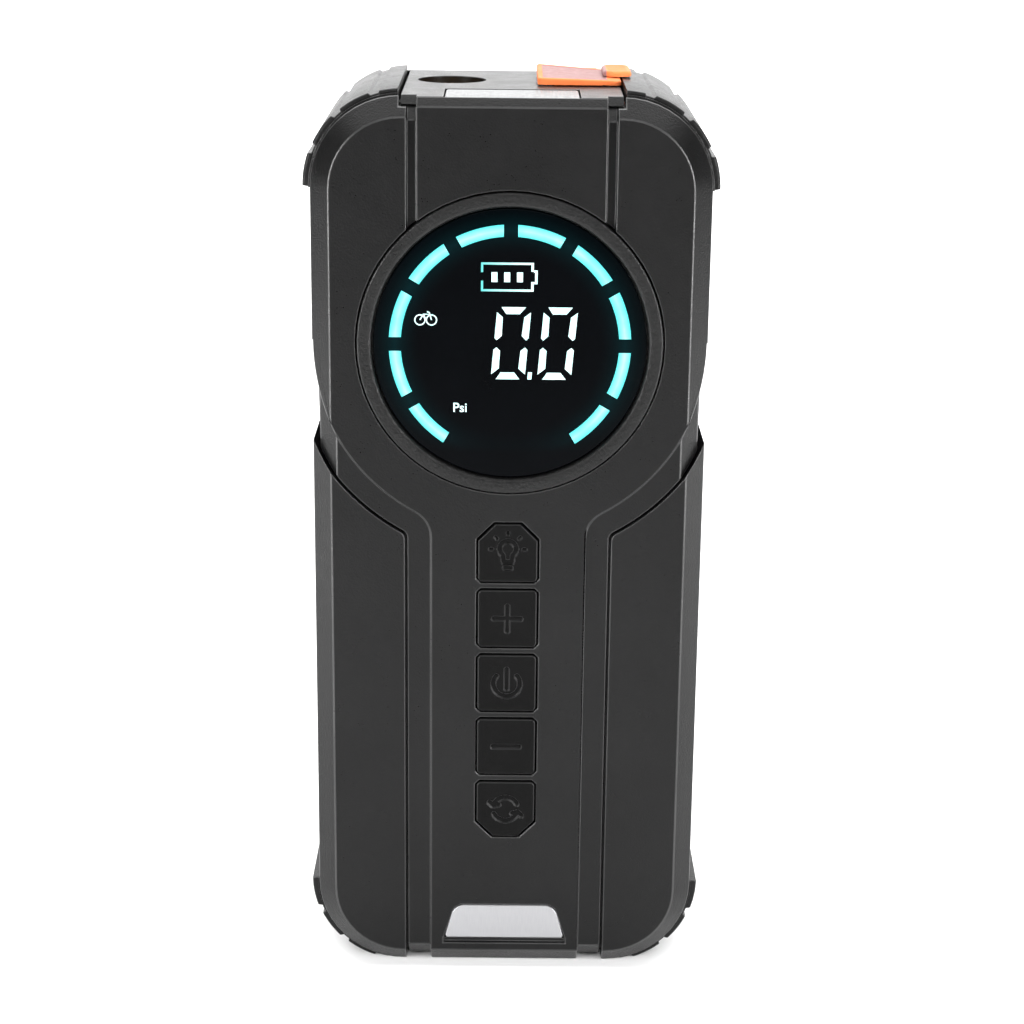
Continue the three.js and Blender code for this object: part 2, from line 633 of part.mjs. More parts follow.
// ---------- top fittings ----------
function topFittings() {
  const lampBack = PANEL_FRONT + LAMP_LENGTH;
  const lampLow = HEIGHT - LAMP_THICKNESS;
  place('lamp_lens', prism(roundedRectangle(-LAMP_HALF_WIDTH, LAMP_HALF_WIDTH, PANEL_FRONT, lampBack, 1.2, 2),
    'z', lampLow, HEIGHT), 'frosted');
  const reflectorLow = CEILING - 3;
  const reflectorHalf = LAMP_HALF_WIDTH - 2;
  const reflector = cut(
    block(-reflectorHalf, reflectorHalf, INSIDE_FRONT + GAP, lampBack - 1, reflectorLow, lampLow - GAP),
    block(1.5 - reflectorHalf, reflectorHalf - 1.5, INSIDE_FRONT + 1.8, lampBack - 2.5, -FAR, FAR),
  );
  place('lamp_reflector', reflector, 'silver');
  place('lamp_board', block(-reflectorHalf, reflectorHalf, INSIDE_FRONT + GAP, lampBack - 1,
    reflectorLow - GAP - 1.6, reflectorLow - GAP), 'board');

  const outletTop = HEIGHT - 1.6;
  const outletLow = outletTop - OUTLET_DEPTH;
  const outletRadius = OUTLET_HOLE_RADIUS - GAP;
  place('air_outlet', cut(
    prism(circle(OUTLET_X, OUTLET_Y, outletRadius, 24), 'z', outletLow, outletTop),
    prism(circle(OUTLET_X, OUTLET_Y, OUTLET_BORE_RADIUS, 24), 'z', outletLow + 3, FAR),
  ), 'brass');

  const socketTop = HEIGHT - 1;
  const mouth = socketBlock(-SOCKET_WALL, socketTop - SOCKET_DEPTH + 2, FAR);
  place('jump_socket', cut(socketBlock(0, socketTop - SOCKET_DEPTH, socketTop), mouth), 'plastic');
  const contactLow = socketTop - SOCKET_DEPTH + 2 + GAP;
  [['contact_front', -1], ['contact_rear', 1]].forEach(([name, side]) => {
    const y = SOCKET_Y + side * CONTACT_SPACING / 2;
    place(name, cut(
      prism(circle(SOCKET_X, y, CONTACT_RADIUS, 16), 'z', contactLow, contactLow + CONTACT_HEIGHT),
      prism(circle(SOCKET_X, y, CONTACT_RADIUS - 0.8, 16), 'z', contactLow + 1, FAR),
    ), 'brass');
  });

  const capLow = HEIGHT + GAP;
  const capHigh = capLow + CAP_THICKNESS;
  const capLeft = SOCKET_X - CAP_WIDTH / 2;
  const capRight = SOCKET_X + CAP_WIDTH / 2;
  const capFront = SOCKET_Y - CAP_LENGTH / 2;
  const capBack = SOCKET_Y + CAP_LENGTH / 2;
  const skirtOuter = socketBlock(-SOCKET_WALL - GAP, capLow - CAP_SKIRT_DEPTH, capLow + 0.5);
  const skirtInner = socketBlock(-SOCKET_WALL - GAP - CAP_SKIRT, -FAR, capLow);
  const tabLow = HEIGHT + FIRST_LUG_PROUD + GAP;
  const tabOutline = roundedRectangle(
    capRight - TAB_WIDTH + TAB_REACH, capRight + TAB_REACH,
    capBack - TAB_FROM_BACK - TAB_LENGTH, capBack - TAB_FROM_BACK, TAB_WIDTH / 3, 4);
  const tab = prism(tabOutline, 'z', tabLow, tabLow + TAB_THICKNESS);
  const tabRoot = block(capRight - TAB_WIDTH + TAB_REACH, capRight - 0.5,
    capBack - TAB_LENGTH + 2, capBack - TAB_FROM_BACK - 2, capLow + 0.5, tabLow + 0.5);
  const plate = prism(roundedRectangle(capLeft, capRight, capFront, capBack, 1.2, 2), 'z', capLow, capHigh);
  place('socket_cap', join(plate, cut(skirtOuter, skirtInner), tab, tabRoot), 'orange');
  place('cap_strap', block(SOCKET_X - 5, SOCKET_X + 5, capBack + GAP, PANEL_BACK - 1,
    HEIGHT + GAP, HEIGHT + GAP + 0.8), 'orange');
}

// ---------- charging ports ----------
function flapBlock(margin, y0, y1) {
  const x = FLAP_WIDTH / 2 + margin;
  const z = FLAP_HEIGHT / 2 + margin;
  return block(-x, x, y0, y1, PORT_Z - z, PORT_Z + z);
}

// One window through the wall, inside the flap's rim, for both ports.
function portWindow() {
  const x = USB_WIDTH / 2 + GAP;
  return block(-x, x, 0, FAR,
    PORT_Z - USB_C_DROP - USB_C_HEIGHT / 2 - GAP, PORT_Z + USB_A_RISE + USB_HEIGHT / 2 + GAP);
}

function portShell(width, height, z, mouthY) {
  const inner = mouthY - USB_LENGTH;
  const hollowX = width / 2 - USB_SHELL;
  const hollowZ = height / 2 - USB_SHELL;
  return cut(
    block(-width / 2, width / 2, inner, mouthY, z - height / 2, z + height / 2),
    block(-hollowX, hollowX, inner + 1, FAR, z - hollowZ, z + hollowZ),
  );
}

function ports() {
  place('port_flap', flapBlock(0, BACK - FLAP_THICKNESS, BACK), 'rubber');
  const mouthY = BACK - FLAP_THICKNESS - 2 * GAP;
  place('usb_a_port', portShell(USB_WIDTH, USB_HEIGHT, PORT_Z + USB_A_RISE, mouthY), 'steel');
  place('usb_c_port', portShell(USB_C_WIDTH, USB_C_HEIGHT, PORT_Z - USB_C_DROP, mouthY), 'steel');
  const boardBack = mouthY - USB_LENGTH - GAP;
  place('port_board', block(-FLAP_WIDTH / 2, FLAP_WIDTH / 2, boardBack - 1.6, boardBack,
    PORT_Z - USB_C_DROP - 6, PORT_Z + 8), 'board');
}

// ---------- power ----------
function power() {
  const insideChamfer = EDGE_CHAMFER - WALL * (2 - Math.SQRT2);
  const stackBack = INSIDE_BACK - insideChamfer - TRAY_WALL - 2 * GAP;
  const pitch = CELL_THICKNESS + GAP;
  const stackFront = stackBack - pitch * CELL_COUNT + GAP;
  const trayHalf = CELL_WIDTH / 2 + GAP + TRAY_WALL;
  const cornerReach = CORNER_RADIUS - WALL - 2 * GAP;
  const trayLow = CORNER_RADIUS - Math.sqrt(cornerReach ** 2 - Math.max(0, trayHalf - CORNER_X) ** 2);
  const cellLow = trayLow + TRAY_WALL + GAP;
  for (let i = 0; i < CELL_COUNT; i += 1) {
    const y = stackFront + pitch * i;
    const outline = roundedRectangle(-CELL_WIDTH / 2, CELL_WIDTH / 2, cellLow, cellLow + CELL_HEIGHT, 3, 2);
    place(`battery_cell_${i + 1}`, prism(outline, 'y', y, y + CELL_THICKNESS, 0.8), 'cell');
  }
  const trayBack = stackBack + GAP + TRAY_WALL;
  const trayFront = stackFront - GAP - TRAY_WALL;
  place('battery_tray', cut(
    block(-trayHalf, trayHalf, trayFront, trayBack, trayLow, trayLow + TRAY_HEIGHT),
    block(TRAY_WALL - trayHalf, trayHalf - TRAY_WALL, trayFront + TRAY_WALL, trayBack - TRAY_WALL,
      trayLow + TRAY_WALL, FAR),
  ), 'plastic');

  const boardBack = trayFront - 1.5;
  const boardFront = boardBack - 1.6;
  const part = (x, z, width, height, rise) =>
    block(x - width / 2, x + width / 2, boardFront - rise, boardFront + 0.5, z, z + height);
  place('main_board', join(
    block(4 - INSIDE_X, INSIDE_X - 4, boardFront, boardBack, WALL + 8, WALL + 108),
    part(-20, 20, 14, 18, 4), part(20, 20, 14, 18, 4), part(0, 60, 12, 12, 1.6),
    part(-22, 62, 10, 26, 5), part(22, 62, 10, 26, 5), part(0, 92, 24, 8, 3),
  ), 'board');
}

// ---------- air pump ----------
// A spur gear lying flat: sloping teeth, thinner than their spaces by the backlash.
function gearOutline(x, y, teeth, phase) {
  const pitchRadius = teeth * GEAR_MODULE / 2;
  const tip = pitchRadius + 0.8 * GEAR_MODULE;
  const root = pitchRadius - 1.05 * GEAR_MODULE;
  const share = 360 / teeth;
  const points = [];
  for (let i = 0; i < teeth; i += 1) {
    const middle = phase + share * i;
    const polar = (radius, turn) => arc(x, y, radius, middle + turn, middle + turn, 1)[0];
    points.push(polar(root, -0.34 * share), polar(tip, -0.13 * share));
    points.push(polar(tip, 0.13 * share), polar(root, 0.34 * share));
  }
  return points;
}

function pump() {
  const plateTop = PUMP_PLATE_Z + PUMP_PLATE_THICKNESS;
  const gearLow = plateTop + GAP;
  const gearTop = gearLow + GEAR_THICKNESS;
  const shaftRadius = 1.5;
  const cylinderZ = gearTop + 6;
  const cylinderStart = GEAR_X + GEAR_RADIUS + 1.5;
  const cylinderEnd = cylinderStart + CYLINDER_LENGTH;
  const outerRadius = BORE_RADIUS + CYLINDER_WALL;

  const motorLow = PUMP_PLATE_Z - GAP - MOTOR_HEIGHT;
  const boss = prism(circle(MOTOR_X, PUMP_Y, 4, 16), 'z', motorLow + MOTOR_HEIGHT - 0.5, PUMP_PLATE_Z + 1);
  place('motor', join(
    prism(circle(MOTOR_X, PUMP_Y, MOTOR_RADIUS, 24), 'z', motorLow, motorLow + MOTOR_HEIGHT, 0.8), boss),
  'steel');

  const axleLow = PUMP_PLATE_Z - 6;
  const saddle = block(cylinderStart, cylinderEnd, PUMP_Y - 6, PUMP_Y + 6, PUMP_PLATE_Z + 0.5,
    cylinderZ - outerRadius * 0.6);
  const plate = block(MOTOR_X - 14, cylinderEnd, PUMP_Y - 17.5, PUMP_Y + 17.5, PUMP_PLATE_Z, plateTop);
  place('pump_frame', cut(
    join(plate, saddle),
    prism(circle(MOTOR_X, PUMP_Y, 4 + GAP, 16), 'z', -FAR, FAR),
    prism(circle(GEAR_X, PUMP_Y, GEAR_AXLE_RADIUS + GAP, 16), 'z', -FAR, FAR),
    prism([
      ...arc(PUMP_Y, cylinderZ, outerRadius + GAP, 0, 350, 35),
    ], 'x', -FAR, FAR),
  ), 'plastic');
  place('gear_axle', prism(circle(GEAR_X, PUMP_Y, GEAR_AXLE_RADIUS, 16), 'z', axleLow, gearTop + 0.8), 'steel');

  const pinion = prism(gearOutline(MOTOR_X, PUMP_Y, PINION_TEETH, 180 / PINION_TEETH), 'z', gearLow, gearTop);
  const shaft = prism(circle(MOTOR_X, PUMP_Y, shaftRadius, 12), 'z', PUMP_PLATE_Z + 1 + GAP, gearTop + 1);
  place('motor_pinion', join(pinion, shaft), 'brass');

  const pinX = GEAR_X - CRANK_RADIUS;
  place('crank_gear', join(
    cut(
      prism(gearOutline(GEAR_X, PUMP_Y, GEAR_TEETH, 0), 'z', gearLow, gearTop),
      prism(circle(GEAR_X, PUMP_Y, GEAR_AXLE_RADIUS + GAP, 16), 'z', -FAR, FAR),
    ),
    prism(circle(pinX, PUMP_Y, CRANK_PIN_RADIUS, 12), 'z', gearTop - 0.5, gearTop + 2.4),
  ), 'nylon');

  const rodLow = gearTop + 2.4 + GAP;
  const cupRadius = BORE_RADIUS - GAP;
  const cupStart = cylinderStart + 1.5;
  const cup = prism(arc(PUMP_Y, cylinderZ, cupRadius, 0, 345, 23), 'x', cupStart, cupStart + 3.5);
  const eye = prism(circle(pinX, PUMP_Y, 3.6, 16), 'z', rodLow, rodLow + 3);
  const arm = block(pinX, cupStart + 0.5, PUMP_Y - 1.8, PUMP_Y + 1.8, rodLow, rodLow + 3);
  const eyeHole = prism(circle(pinX, PUMP_Y, CRANK_PIN_RADIUS + 0.2, 12), 'z', -FAR, FAR);
  place('piston', cut(join(cup, eye, arm), eyeHole), 'nylon');

  const bore = prism(arc(PUMP_Y, cylinderZ, BORE_RADIUS, 0, 345, 23), 'x', -FAR, FAR);
  const barrel = prism(arc(PUMP_Y, cylinderZ, outerRadius, 0, 345, 23), 'x', cylinderStart, cylinderEnd);
  place('pump_cylinder', cut(barrel, bore), 'silver');
  const headStart = cylinderEnd + GAP;
  const headEnd = headStart + 2.6;
  const head = prism(arc(PUMP_Y, cylinderZ, outerRadius, 0, 345, 23), 'x', headStart, headEnd);
  place('cylinder_head', head, 'silver');

  const tubeRadius = 1.7;
  const tubeBottom = cylinderZ + outerRadius + GAP;
  const outletLow = HEIGHT - 1.6 - OUTLET_DEPTH;
  const route = new THREE.CatmullRomCurve3([
    new THREE.Vector3(headStart + 0.8, PUMP_Y, tubeBottom + tubeRadius),
    new THREE.Vector3(headStart - 8, PUMP_Y - 4, tubeBottom + tubeRadius),
    new THREE.Vector3(OUTLET_X + 12, OUTLET_Y - 4, tubeBottom + tubeRadius),
    new THREE.Vector3(OUTLET_X, OUTLET_Y, tubeBottom + tubeRadius),
  ]);
  const tube = new THREE.ExtrudeGeometry(new THREE.Shape(circle(0, 0, tubeRadius, 8)), {
    steps: 12,
    extrudePath: route,
  });
  const riser = prism(circle(OUTLET_X, OUTLET_Y, tubeRadius + 0.6, 12), 'z', tubeBottom, outletLow - GAP);
  place('air_tube', join(solid(tube), riser), 'rubber');
}

casing();
display();
buttons();
topFittings();
ports();
power();
pump();

export default assembly;
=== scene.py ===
"""The looks of a hand-held jump starter with a tyre inflator, built round its fixed CAD frame.

Everything is in metres in the frame's own axes: +Z up, the display faces -Y.
"""
import math

import bmesh
import bpy
import numpy as np
from mathutils import Matrix, Vector


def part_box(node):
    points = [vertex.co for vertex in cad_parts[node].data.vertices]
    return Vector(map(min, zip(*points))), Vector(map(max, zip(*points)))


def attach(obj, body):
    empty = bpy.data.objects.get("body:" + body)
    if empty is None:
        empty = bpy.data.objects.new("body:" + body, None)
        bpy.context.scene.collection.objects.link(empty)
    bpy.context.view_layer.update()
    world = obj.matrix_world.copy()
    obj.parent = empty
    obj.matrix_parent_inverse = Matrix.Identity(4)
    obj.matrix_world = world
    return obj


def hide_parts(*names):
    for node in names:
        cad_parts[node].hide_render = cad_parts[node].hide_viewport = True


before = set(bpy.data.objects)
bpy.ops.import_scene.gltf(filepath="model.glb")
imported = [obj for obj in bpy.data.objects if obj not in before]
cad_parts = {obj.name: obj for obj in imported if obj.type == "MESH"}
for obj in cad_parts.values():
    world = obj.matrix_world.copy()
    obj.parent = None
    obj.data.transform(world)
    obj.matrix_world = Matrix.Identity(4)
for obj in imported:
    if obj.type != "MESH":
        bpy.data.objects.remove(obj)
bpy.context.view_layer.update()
MM = 0.001

# ---- sizes that the frame gives ----
SHELL_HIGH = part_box("front_shell")[1]
HALF_WIDTH = SHELL_HIGH.x
HEIGHT = SHELL_HIGH.z
LENS_LOW, LENS_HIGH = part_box("display_lens")
DISPLAY_Z = (LENS_LOW.z + LENS_HIGH.z) / 2
LENS_RADIUS = (LENS_HIGH.x - LENS_LOW.x) / 2
LENS_FACE = LENS_LOW.y

# ---- camera ----
CAMERA_PLACE = Vector((-0.0009, -0.5476, 0.2691))
CAMERA_PITCH = math.radians(16.54)
CAMERA_YAW = math.radians(0.195)
CAMERA_ROLL = math.radians(0.602)
CAMERA_LENS_MM = 82.34


# ------------------------------------------------------------------ meshes
def finish_piece(name, mesh, material, body, replaced=()):
    """Gives a mesh its material, rides it on a body and hides the CAD nodes it stands for."""
    mesh.materials.append(material)
    piece = bpy.data.objects.new(name, mesh)
    bpy.context.scene.collection.objects.link(piece)
    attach(piece, body)
    if replaced:
        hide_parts(*replaced)
    return piece


def build(name, points, faces, smooth_angle=40):
    """A mesh from points and faces, doubles merged, faces outwards, sharp over an angle."""
    mesh = bpy.data.meshes.new(name)
    mesh.from_pydata(np.reshape(points, (-1, 3)).tolist(), [], [list(map(int, f)) for f in faces])
    sheet = bmesh.new()
    sheet.from_mesh(mesh)
    bmesh.ops.remove_doubles(sheet, verts=sheet.verts, dist=1e-7)
    bmesh.ops.recalc_face_normals(sheet, faces=sheet.faces)
    sheet.to_mesh(mesh)
    sheet.free()
    mesh.polygons.foreach_set("use_smooth", np.ones(len(mesh.polygons), bool))
    mesh.set_sharp_from_angle(angle=math.radians(smooth_angle))
    return mesh


def grid_faces(rows, columns, wrap_rows=False, wrap_columns=False, start=0):
    """Quads over a grid of points stored row by row, closed on itself where it wraps."""
    row = np.arange(rows if wrap_rows else rows - 1)
    column = np.arange(columns if wrap_columns else columns - 1)
    r, c = np.meshgrid(row, column, indexing="ij")
    r1, c1 = (r + 1) % rows, (c + 1) % columns
    quads = np.stack([r * columns + c, r * columns + c1, r1 * columns + c1, r1 * columns + c], -1)
    return (quads.reshape(-1, 4) + start).tolist()


def perimeter(rows, columns):
    """Indices once round the edge of a grid stored row by row."""
    index = np.arange(rows * columns).reshape(rows, columns)
    return np.concatenate([index[0, :-1], index[:-1, -1], index[-1, :0:-1], index[:0:-1, 0]])


def capped(front, rims):
    """A closed body: a grid of points in front, then loops round its edge, the last one filled."""
    rows, columns = front.shape[:2]
    points = [front.reshape(-1, 3)]
    faces = grid_faces(rows, columns)
    last = perimeter(rows, columns)
    start = rows * columns
    for rim in rims:
        points.append(rim)
        now = np.arange(start, start + len(rim))
        faces += np.stack([last, np.roll(last, -1), np.roll(now, -1), now], -1).tolist()
        start += len(rim)
        last = now
    faces.append(last.tolist())
    return np.concatenate(points), faces


def edge_of(grid):
    """The points once round the edge of a grid."""
    return grid.reshape(-1, 3)[perimeter(*grid.shape[:2])]


def rim_at(grid, axis, value):
    """The edge of a grid, moved along an axis onto one plane."""
    rim = edge_of(grid)
    rim[:, axis] = value
    return rim


def capped_piece(name, front, rims, material, body, replaced):
    """A finished piece from a grid in front and the loops behind it."""
    points, faces = capped(front, rims)
    mesh = build(name, points, faces, smooth_angle=60)
    finish_piece(name, mesh, material, body, replaced)


def turned(profile, centre, axis, steps=128):
    """A profile of (radius, place along the axis) turned once round. It ends where it began, or
    both its ends lie on the axis."""
    angle = np.linspace(0, 2 * np.pi, steps, endpoint=False)[:, None]
    radius, along = np.asarray(profile, float).T
    u = radius * np.cos(angle)
    v = radius * np.sin(angle)
    w = np.broadcast_to(along, u.shape)
    grid = np.stack([u, w, v] if axis == "y" else [u, v, w], -1) + np.asarray(centre)
    return grid, grid_faces(*grid.shape[:2], wrap_rows=True)


def quarter(centre, radius, start, steps=5):
    """Points on a quarter circle from a start angle in degrees, anticlockwise."""
    angle = np.radians(np.linspace(start, start + 90, steps + 1))
    return [(centre[0] + radius * math.cos(a), centre[1] + radius * math.sin(a)) for a in angle]


def smooth_step(value):
    """0 below 0, 1 above 1, with a soft rise between."""
    t = np.clip(value, 0, 1)
    return t * t * (3 - 2 * t)


def edge_drop(distance, radius):
    """How far a quarter-round edge falls away at a distance inside the outline."""
    inside = np.clip(distance, 0, radius)
    return radius - np.sqrt(radius ** 2 - (radius - inside) ** 2)


def outline_grid(half_width, low, high, columns, rows):
    """Across and up coordinates of a plate whose half width is a function of its height,
    and each point's distance from the outline."""
    a = np.sin(np.linspace(-1, 1, columns) * np.pi / 2)[None, :]
    share = (1 + np.sin(np.linspace(-1, 1, rows) * np.pi / 2)) / 2
    up = (low + (high - low) * share)[:, None]
    half = half_width(up)
    across = a * half
    distance = np.minimum((1 - np.abs(a)) * half, np.minimum(up - low, high - up))
    return across, np.broadcast_to(up, across.shape), distance


def rounded_half_width(half, low, high, foot, top, foot_round=True, top_round=True):
    """Half width of a plate with round or cut corners of given sizes at its foot and top."""
    def at(up):
        width = np.full(up.shape, half)
        for reach, size, is_round in ((low + foot - up, foot, foot_round),
                                      (up - high + top, top, top_round)):
            depth = np.clip(reach, 0, size)
            inset = size - np.sqrt(size ** 2 - depth ** 2) if is_round else depth
            width = width - inset
        return width
    return at


# ------------------------------------------------------------------ materials
class Nodes:
    """Short calls for the few shader nodes that the finishes here need."""

    def __init__(self, name):
        self.material = bpy.data.materials.new(name)
        self.material.use_nodes = True
        self.tree = self.material.node_tree
        self.surface = self.tree.nodes["Principled BSDF"]
        self.place = self.tree.nodes.new("ShaderNodeTexCoord").outputs["Object"]

    def new(self, kind, inputs=(), **settings):
        node = self.tree.nodes.new(kind)
        for key, value in settings.items():
            setattr(node, key, value)
        for key, value in dict(inputs).items():
            if isinstance(value, bpy.types.NodeSocket):
                self.tree.links.new(value, node.inputs[key])
            else:
                node.inputs[key].default_value = value
        return node

    def set(self, **values):
        for key, value in values.items():
            self.surface.inputs[key.replace("_", " ")].default_value = value

    def link(self, socket, name):
        self.tree.links.new(socket, self.surface.inputs[name])

    def noise(self, scale, detail=3, place=None):
        inputs = {"Vector": place or self.place, "Scale": scale, "Detail": detail}
        return self.new("ShaderNodeTexNoise", inputs).outputs["Fac"]

    def spread(self, value, low, high, start=0.3, end=0.7):
        inputs = {"Value": value, "From Min": start, "From Max": end, "To Min": low, "To Max": high}
        return self.new("ShaderNodeMapRange", inputs).outputs["Result"]

    def mix(self, share, first, second):
        node = self.new("ShaderNodeMix", data_type="RGBA")
        for index, value in ((0, share), (6, first), (7, second)):
            if isinstance(value, bpy.types.NodeSocket):
                self.tree.links.new(value, node.inputs[index])
            else:
                node.inputs[index].default_value = value
        return node.outputs[2]

    def math(self, operation, first, second=0.0):
        return self.new("ShaderNodeMath", {0: first, 1: second}, operation=operation).outputs[0]

    def bump(self, height, distance, strength=1.0):
        node = self.new("ShaderNodeBump", {"Height": height, "Distance": distance, "Strength": strength})
        self.link(node.outputs["Normal"], "Normal")

    def radius_about(self, x, z):
        """Distance from the line along the depth axis through (x, z)."""
        moved = self.new("ShaderNodeMapping", {"Vector": self.place, "Location": (-x, 0, -z)})
        flat = self.new("ShaderNodeVectorMath",
                        {0: moved.outputs[0], 1: (1, 0, 1)}, operation="MULTIPLY")
        length = self.new("ShaderNodeVectorMath", {0: flat.outputs[0]}, operation="LENGTH")
        return length.outputs["Value"]


def grey(value, blue=1.0):
    """A grey whose blue is scaled."""
    return (value, value, value * blue, 1)


def dimmed(color, factor):
    """A colour scaled by a factor, still opaque."""
    return tuple(c * factor for c in color[:3]) + (1,)


def moulded(name, color, roughness, grain_scale=2600, grain=0.00005, spread=0.25, specular=0.5):
    """Moulded plastic or rubber: fine grain, slightly uneven gloss and faint marbling."""
    n = Nodes(name)
    fine = n.noise(grain_scale, 4)
    cloud = n.spread(n.noise(38, 5), 0, 1)
    n.link(n.mix(cloud, dimmed(color, 1 - spread), dimmed(color, 1 + spread)), "Base Color")
    uneven = n.math("ADD", n.spread(n.noise(240, 3), -0.03, 0.03), n.spread(fine, -0.04, 0.04))
    n.link(n.math("ADD", uneven, roughness), "Roughness")
    n.set(Specular_IOR_Level=specular)
    n.bump(fine, grain)
    return n.material


def brushed(name, color, roughness, stretch=(900, 40, 40), metallic=1.0):
    """Metal or metal paint with fine parallel brush lines and small gloss changes."""
    n = Nodes(name)
    lines = n.new("ShaderNodeMapping", {"Vector": n.place, "Scale": stretch}).outputs[0]
    streak = n.noise(9, 6, lines)
    n.link(n.mix(n.spread(streak, 0, 1), dimmed(color, 0.9), color), "Base Color")
    n.link(n.spread(streak, roughness - 0.06, roughness + 0.08), "Roughness")
    n.set(Metallic=metallic)
    n.bump(streak, 0.00001)
    return n.material


def off_ring(n):
    """Distance from the circle along the middle of the ring of light."""
    return n.math("ABSOLUTE", n.math("SUBTRACT", n.radius_about(0, DISPLAY_Z), RING_MIDDLE))


def black_glass():
    """Polished smoked lens: near black, with a painted cyan glow of the ring's light, given off as
    emission where the ring of light sits. The painted glow fades out below, where the ring's bars are
    dark."""
    n = Nodes("smoked_lens")
    # Painted glow: the ring's light on the lens, given off as emission by the lens itself.
    painted_ring_glow = n.math("POWER", n.spread(off_ring(n), 1, 0, 0.0, 6 * MM), 2.0)
    patch = n.spread(n.noise(60, 4), 0.8, 1.2)
    up = n.new("ShaderNodeSeparateXYZ", {0: n.place}).outputs[2]
    above = n.spread(up, 0, 1, DISPLAY_Z - 25 * MM, DISPLAY_Z - 17 * MM)
    painted_ring_glow = n.math("MULTIPLY", n.math("MULTIPLY", painted_ring_glow, above), patch)
    n.link(n.mix(painted_ring_glow, (0, 0, 0, 1), (0.0, 0.03, 0.035, 1)), "Emission Color")
    smoke = n.mix(n.noise(90, 3), (0.0004, 0.0006, 0.0009, 1), (0.0008, 0.0011, 0.0016, 1))
    n.link(smoke, "Base Color")
    n.link(n.spread(n.noise(500, 2), 0.10, 0.14), "Roughness")
    n.set(Emission_Strength=0.5, Specular_IOR_Level=0.03)
    return n.material


def lit(n, share, light, base):
    """A light that goes from the first colour of its pair to the second with a share."""
    n.link(n.mix(share, *light), "Emission Color")
    n.link(n.mix(share, *base), "Base Color")
    n.set(Emission_Strength=0.95, Roughness=0.4)
    return n.material


def lit_ring():
    """Cyan light: palest along the middle of each bar and a little cloudy."""
    n = Nodes("lit_cyan")
    share = n.spread(off_ring(n), 1, 0, 0.0, RING_WIDTH / 2)
    cloudy = n.math("MULTIPLY", share, n.spread(n.noise(180, 3), 0.45, 1.0))
    return lit(n, cloudy, ((0.03, 0.42, 0.42, 1), (0.40, 1.0, 0.98, 1)),
               ((0.02, 0.3, 0.3, 1), (0.1, 0.4, 0.4, 1)))


def lit_digits():
    """Near-white light with a cyan cast that comes and goes."""
    n = Nodes("lit_digits")
    cast = n.spread(n.noise(300, 3), 0, 1)
    return lit(n, cast, ((0.62, 1.0, 1.0, 1), (0.85, 1.0, 1.0, 1)),
               ((0.2, 0.4, 0.4, 1), (0.3, 0.4, 0.4, 1)))


def lit_sign():
    """Light that pales from teal on the left to near white on the right, a little cloudy."""
    n = Nodes("lit_sign")
    across = n.new("ShaderNodeSeparateXYZ", {0: n.place}).outputs[0]
    share = n.spread(across, 0.05, 0.85, -6.6 * MM, 5 * MM)
    cloudy = n.math("MULTIPLY", share, n.spread(n.noise(400, 3), 0.85, 1.1))
    return lit(n, cloudy, ((0.03, 0.36, 0.34, 1), (0.75, 1.0, 1.0, 1)),
               ((0.02, 0.2, 0.2, 1), (0.3, 0.4, 0.4, 1)))


def orange_cap():
    """Orange rubber with a faded pale field printed on its top."""
    n = Nodes("orange_rubber")
    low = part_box("socket_cap")[0]
    across, along, up = n.new("ShaderNodeSeparateXYZ", {0: n.place}).outputs
    margin = 1.2 * MM
    left, right = low.x + margin, low.x + CAP_WIDTH - 3.2 * MM
    near, far = low.y + margin, low.y + CAP_LENGTH - margin
    field = n.math("GREATER_THAN", up, HEIGHT + 1.2 * MM)
    for socket, lower, upper in ((across, left, right), (along, near, far)):
        inside = n.math("MULTIPLY", n.math("GREATER_THAN", socket, lower),
                        n.math("LESS_THAN", socket, upper))
        field = n.math("MULTIPLY", field, inside)
    cloud, speckle = n.spread(n.noise(120, 4), 0, 1), n.spread(n.noise(900, 4), 0, 1)
    rubber = n.mix(cloud, (0.85, 0.18, 0.045, 1), (0.92, 0.23, 0.07, 1))
    faded = n.mix(speckle, (0.27, 0.135, 0.13, 1), (0.33, 0.175, 0.17, 1))
    n.link(n.mix(field, rubber, faded), "Base Color")
    n.link(n.spread(n.noise(400, 3), 0.5, 0.6), "Roughness")
    n.set(Specular_IOR_Level=0.2)
    n.bump(n.noise(2200, 3), 0.00004)
    return n.material


def frosted_lens():
    """Milky lamp lens with fine prism ribs across it."""
    n = Nodes("frosted_lens")
    across = n.new("ShaderNodeSeparateXYZ", {0: n.place}).outputs[0]
    ribs = n.math("SINE", n.math("MULTIPLY", across, 5200.0))
    n.link(n.mix(n.noise(160, 3), (0.115, 0.12, 0.125, 1), (0.15, 0.155, 0.16, 1)), "Base Color")
    n.link(n.spread(n.noise(700, 3), 0.28, 0.40), "Roughness")
    n.bump(ribs, 0.00004)
    return n.material


def solder_mask():
    """Green board lacquer over faint copper traces."""
    n = Nodes("solder_mask")
    cells = n.new("ShaderNodeTexVoronoi", {"Vector": n.place, "Scale": 260.0}, distance="MANHATTAN")
    traces = n.spread(cells.outputs["Distance"], 0, 1, 0.3, 0.34)
    n.link(n.mix(traces, (0.015, 0.10, 0.045, 1), (0.03, 0.17, 0.08, 1)), "Base Color")
    n.link(n.spread(traces, 0.3, 0.42), "Roughness")
    n.bump(traces, 0.00002)
    return n.material


def crinkled_foil():
    """Foil pouch of a battery cell, with soft wrinkles."""
    n = Nodes("crinkled_foil")
    wrinkle = n.noise(90, 5)
    n.link(n.mix(wrinkle, (0.42, 0.44, 0.47, 1), (0.62, 0.64, 0.66, 1)), "Base Color")
    n.link(n.spread(wrinkle, 0.25, 0.45), "Roughness")
    n.set(Metallic=0.7)
    n.bump(wrinkle, 0.0003)
    return n.material


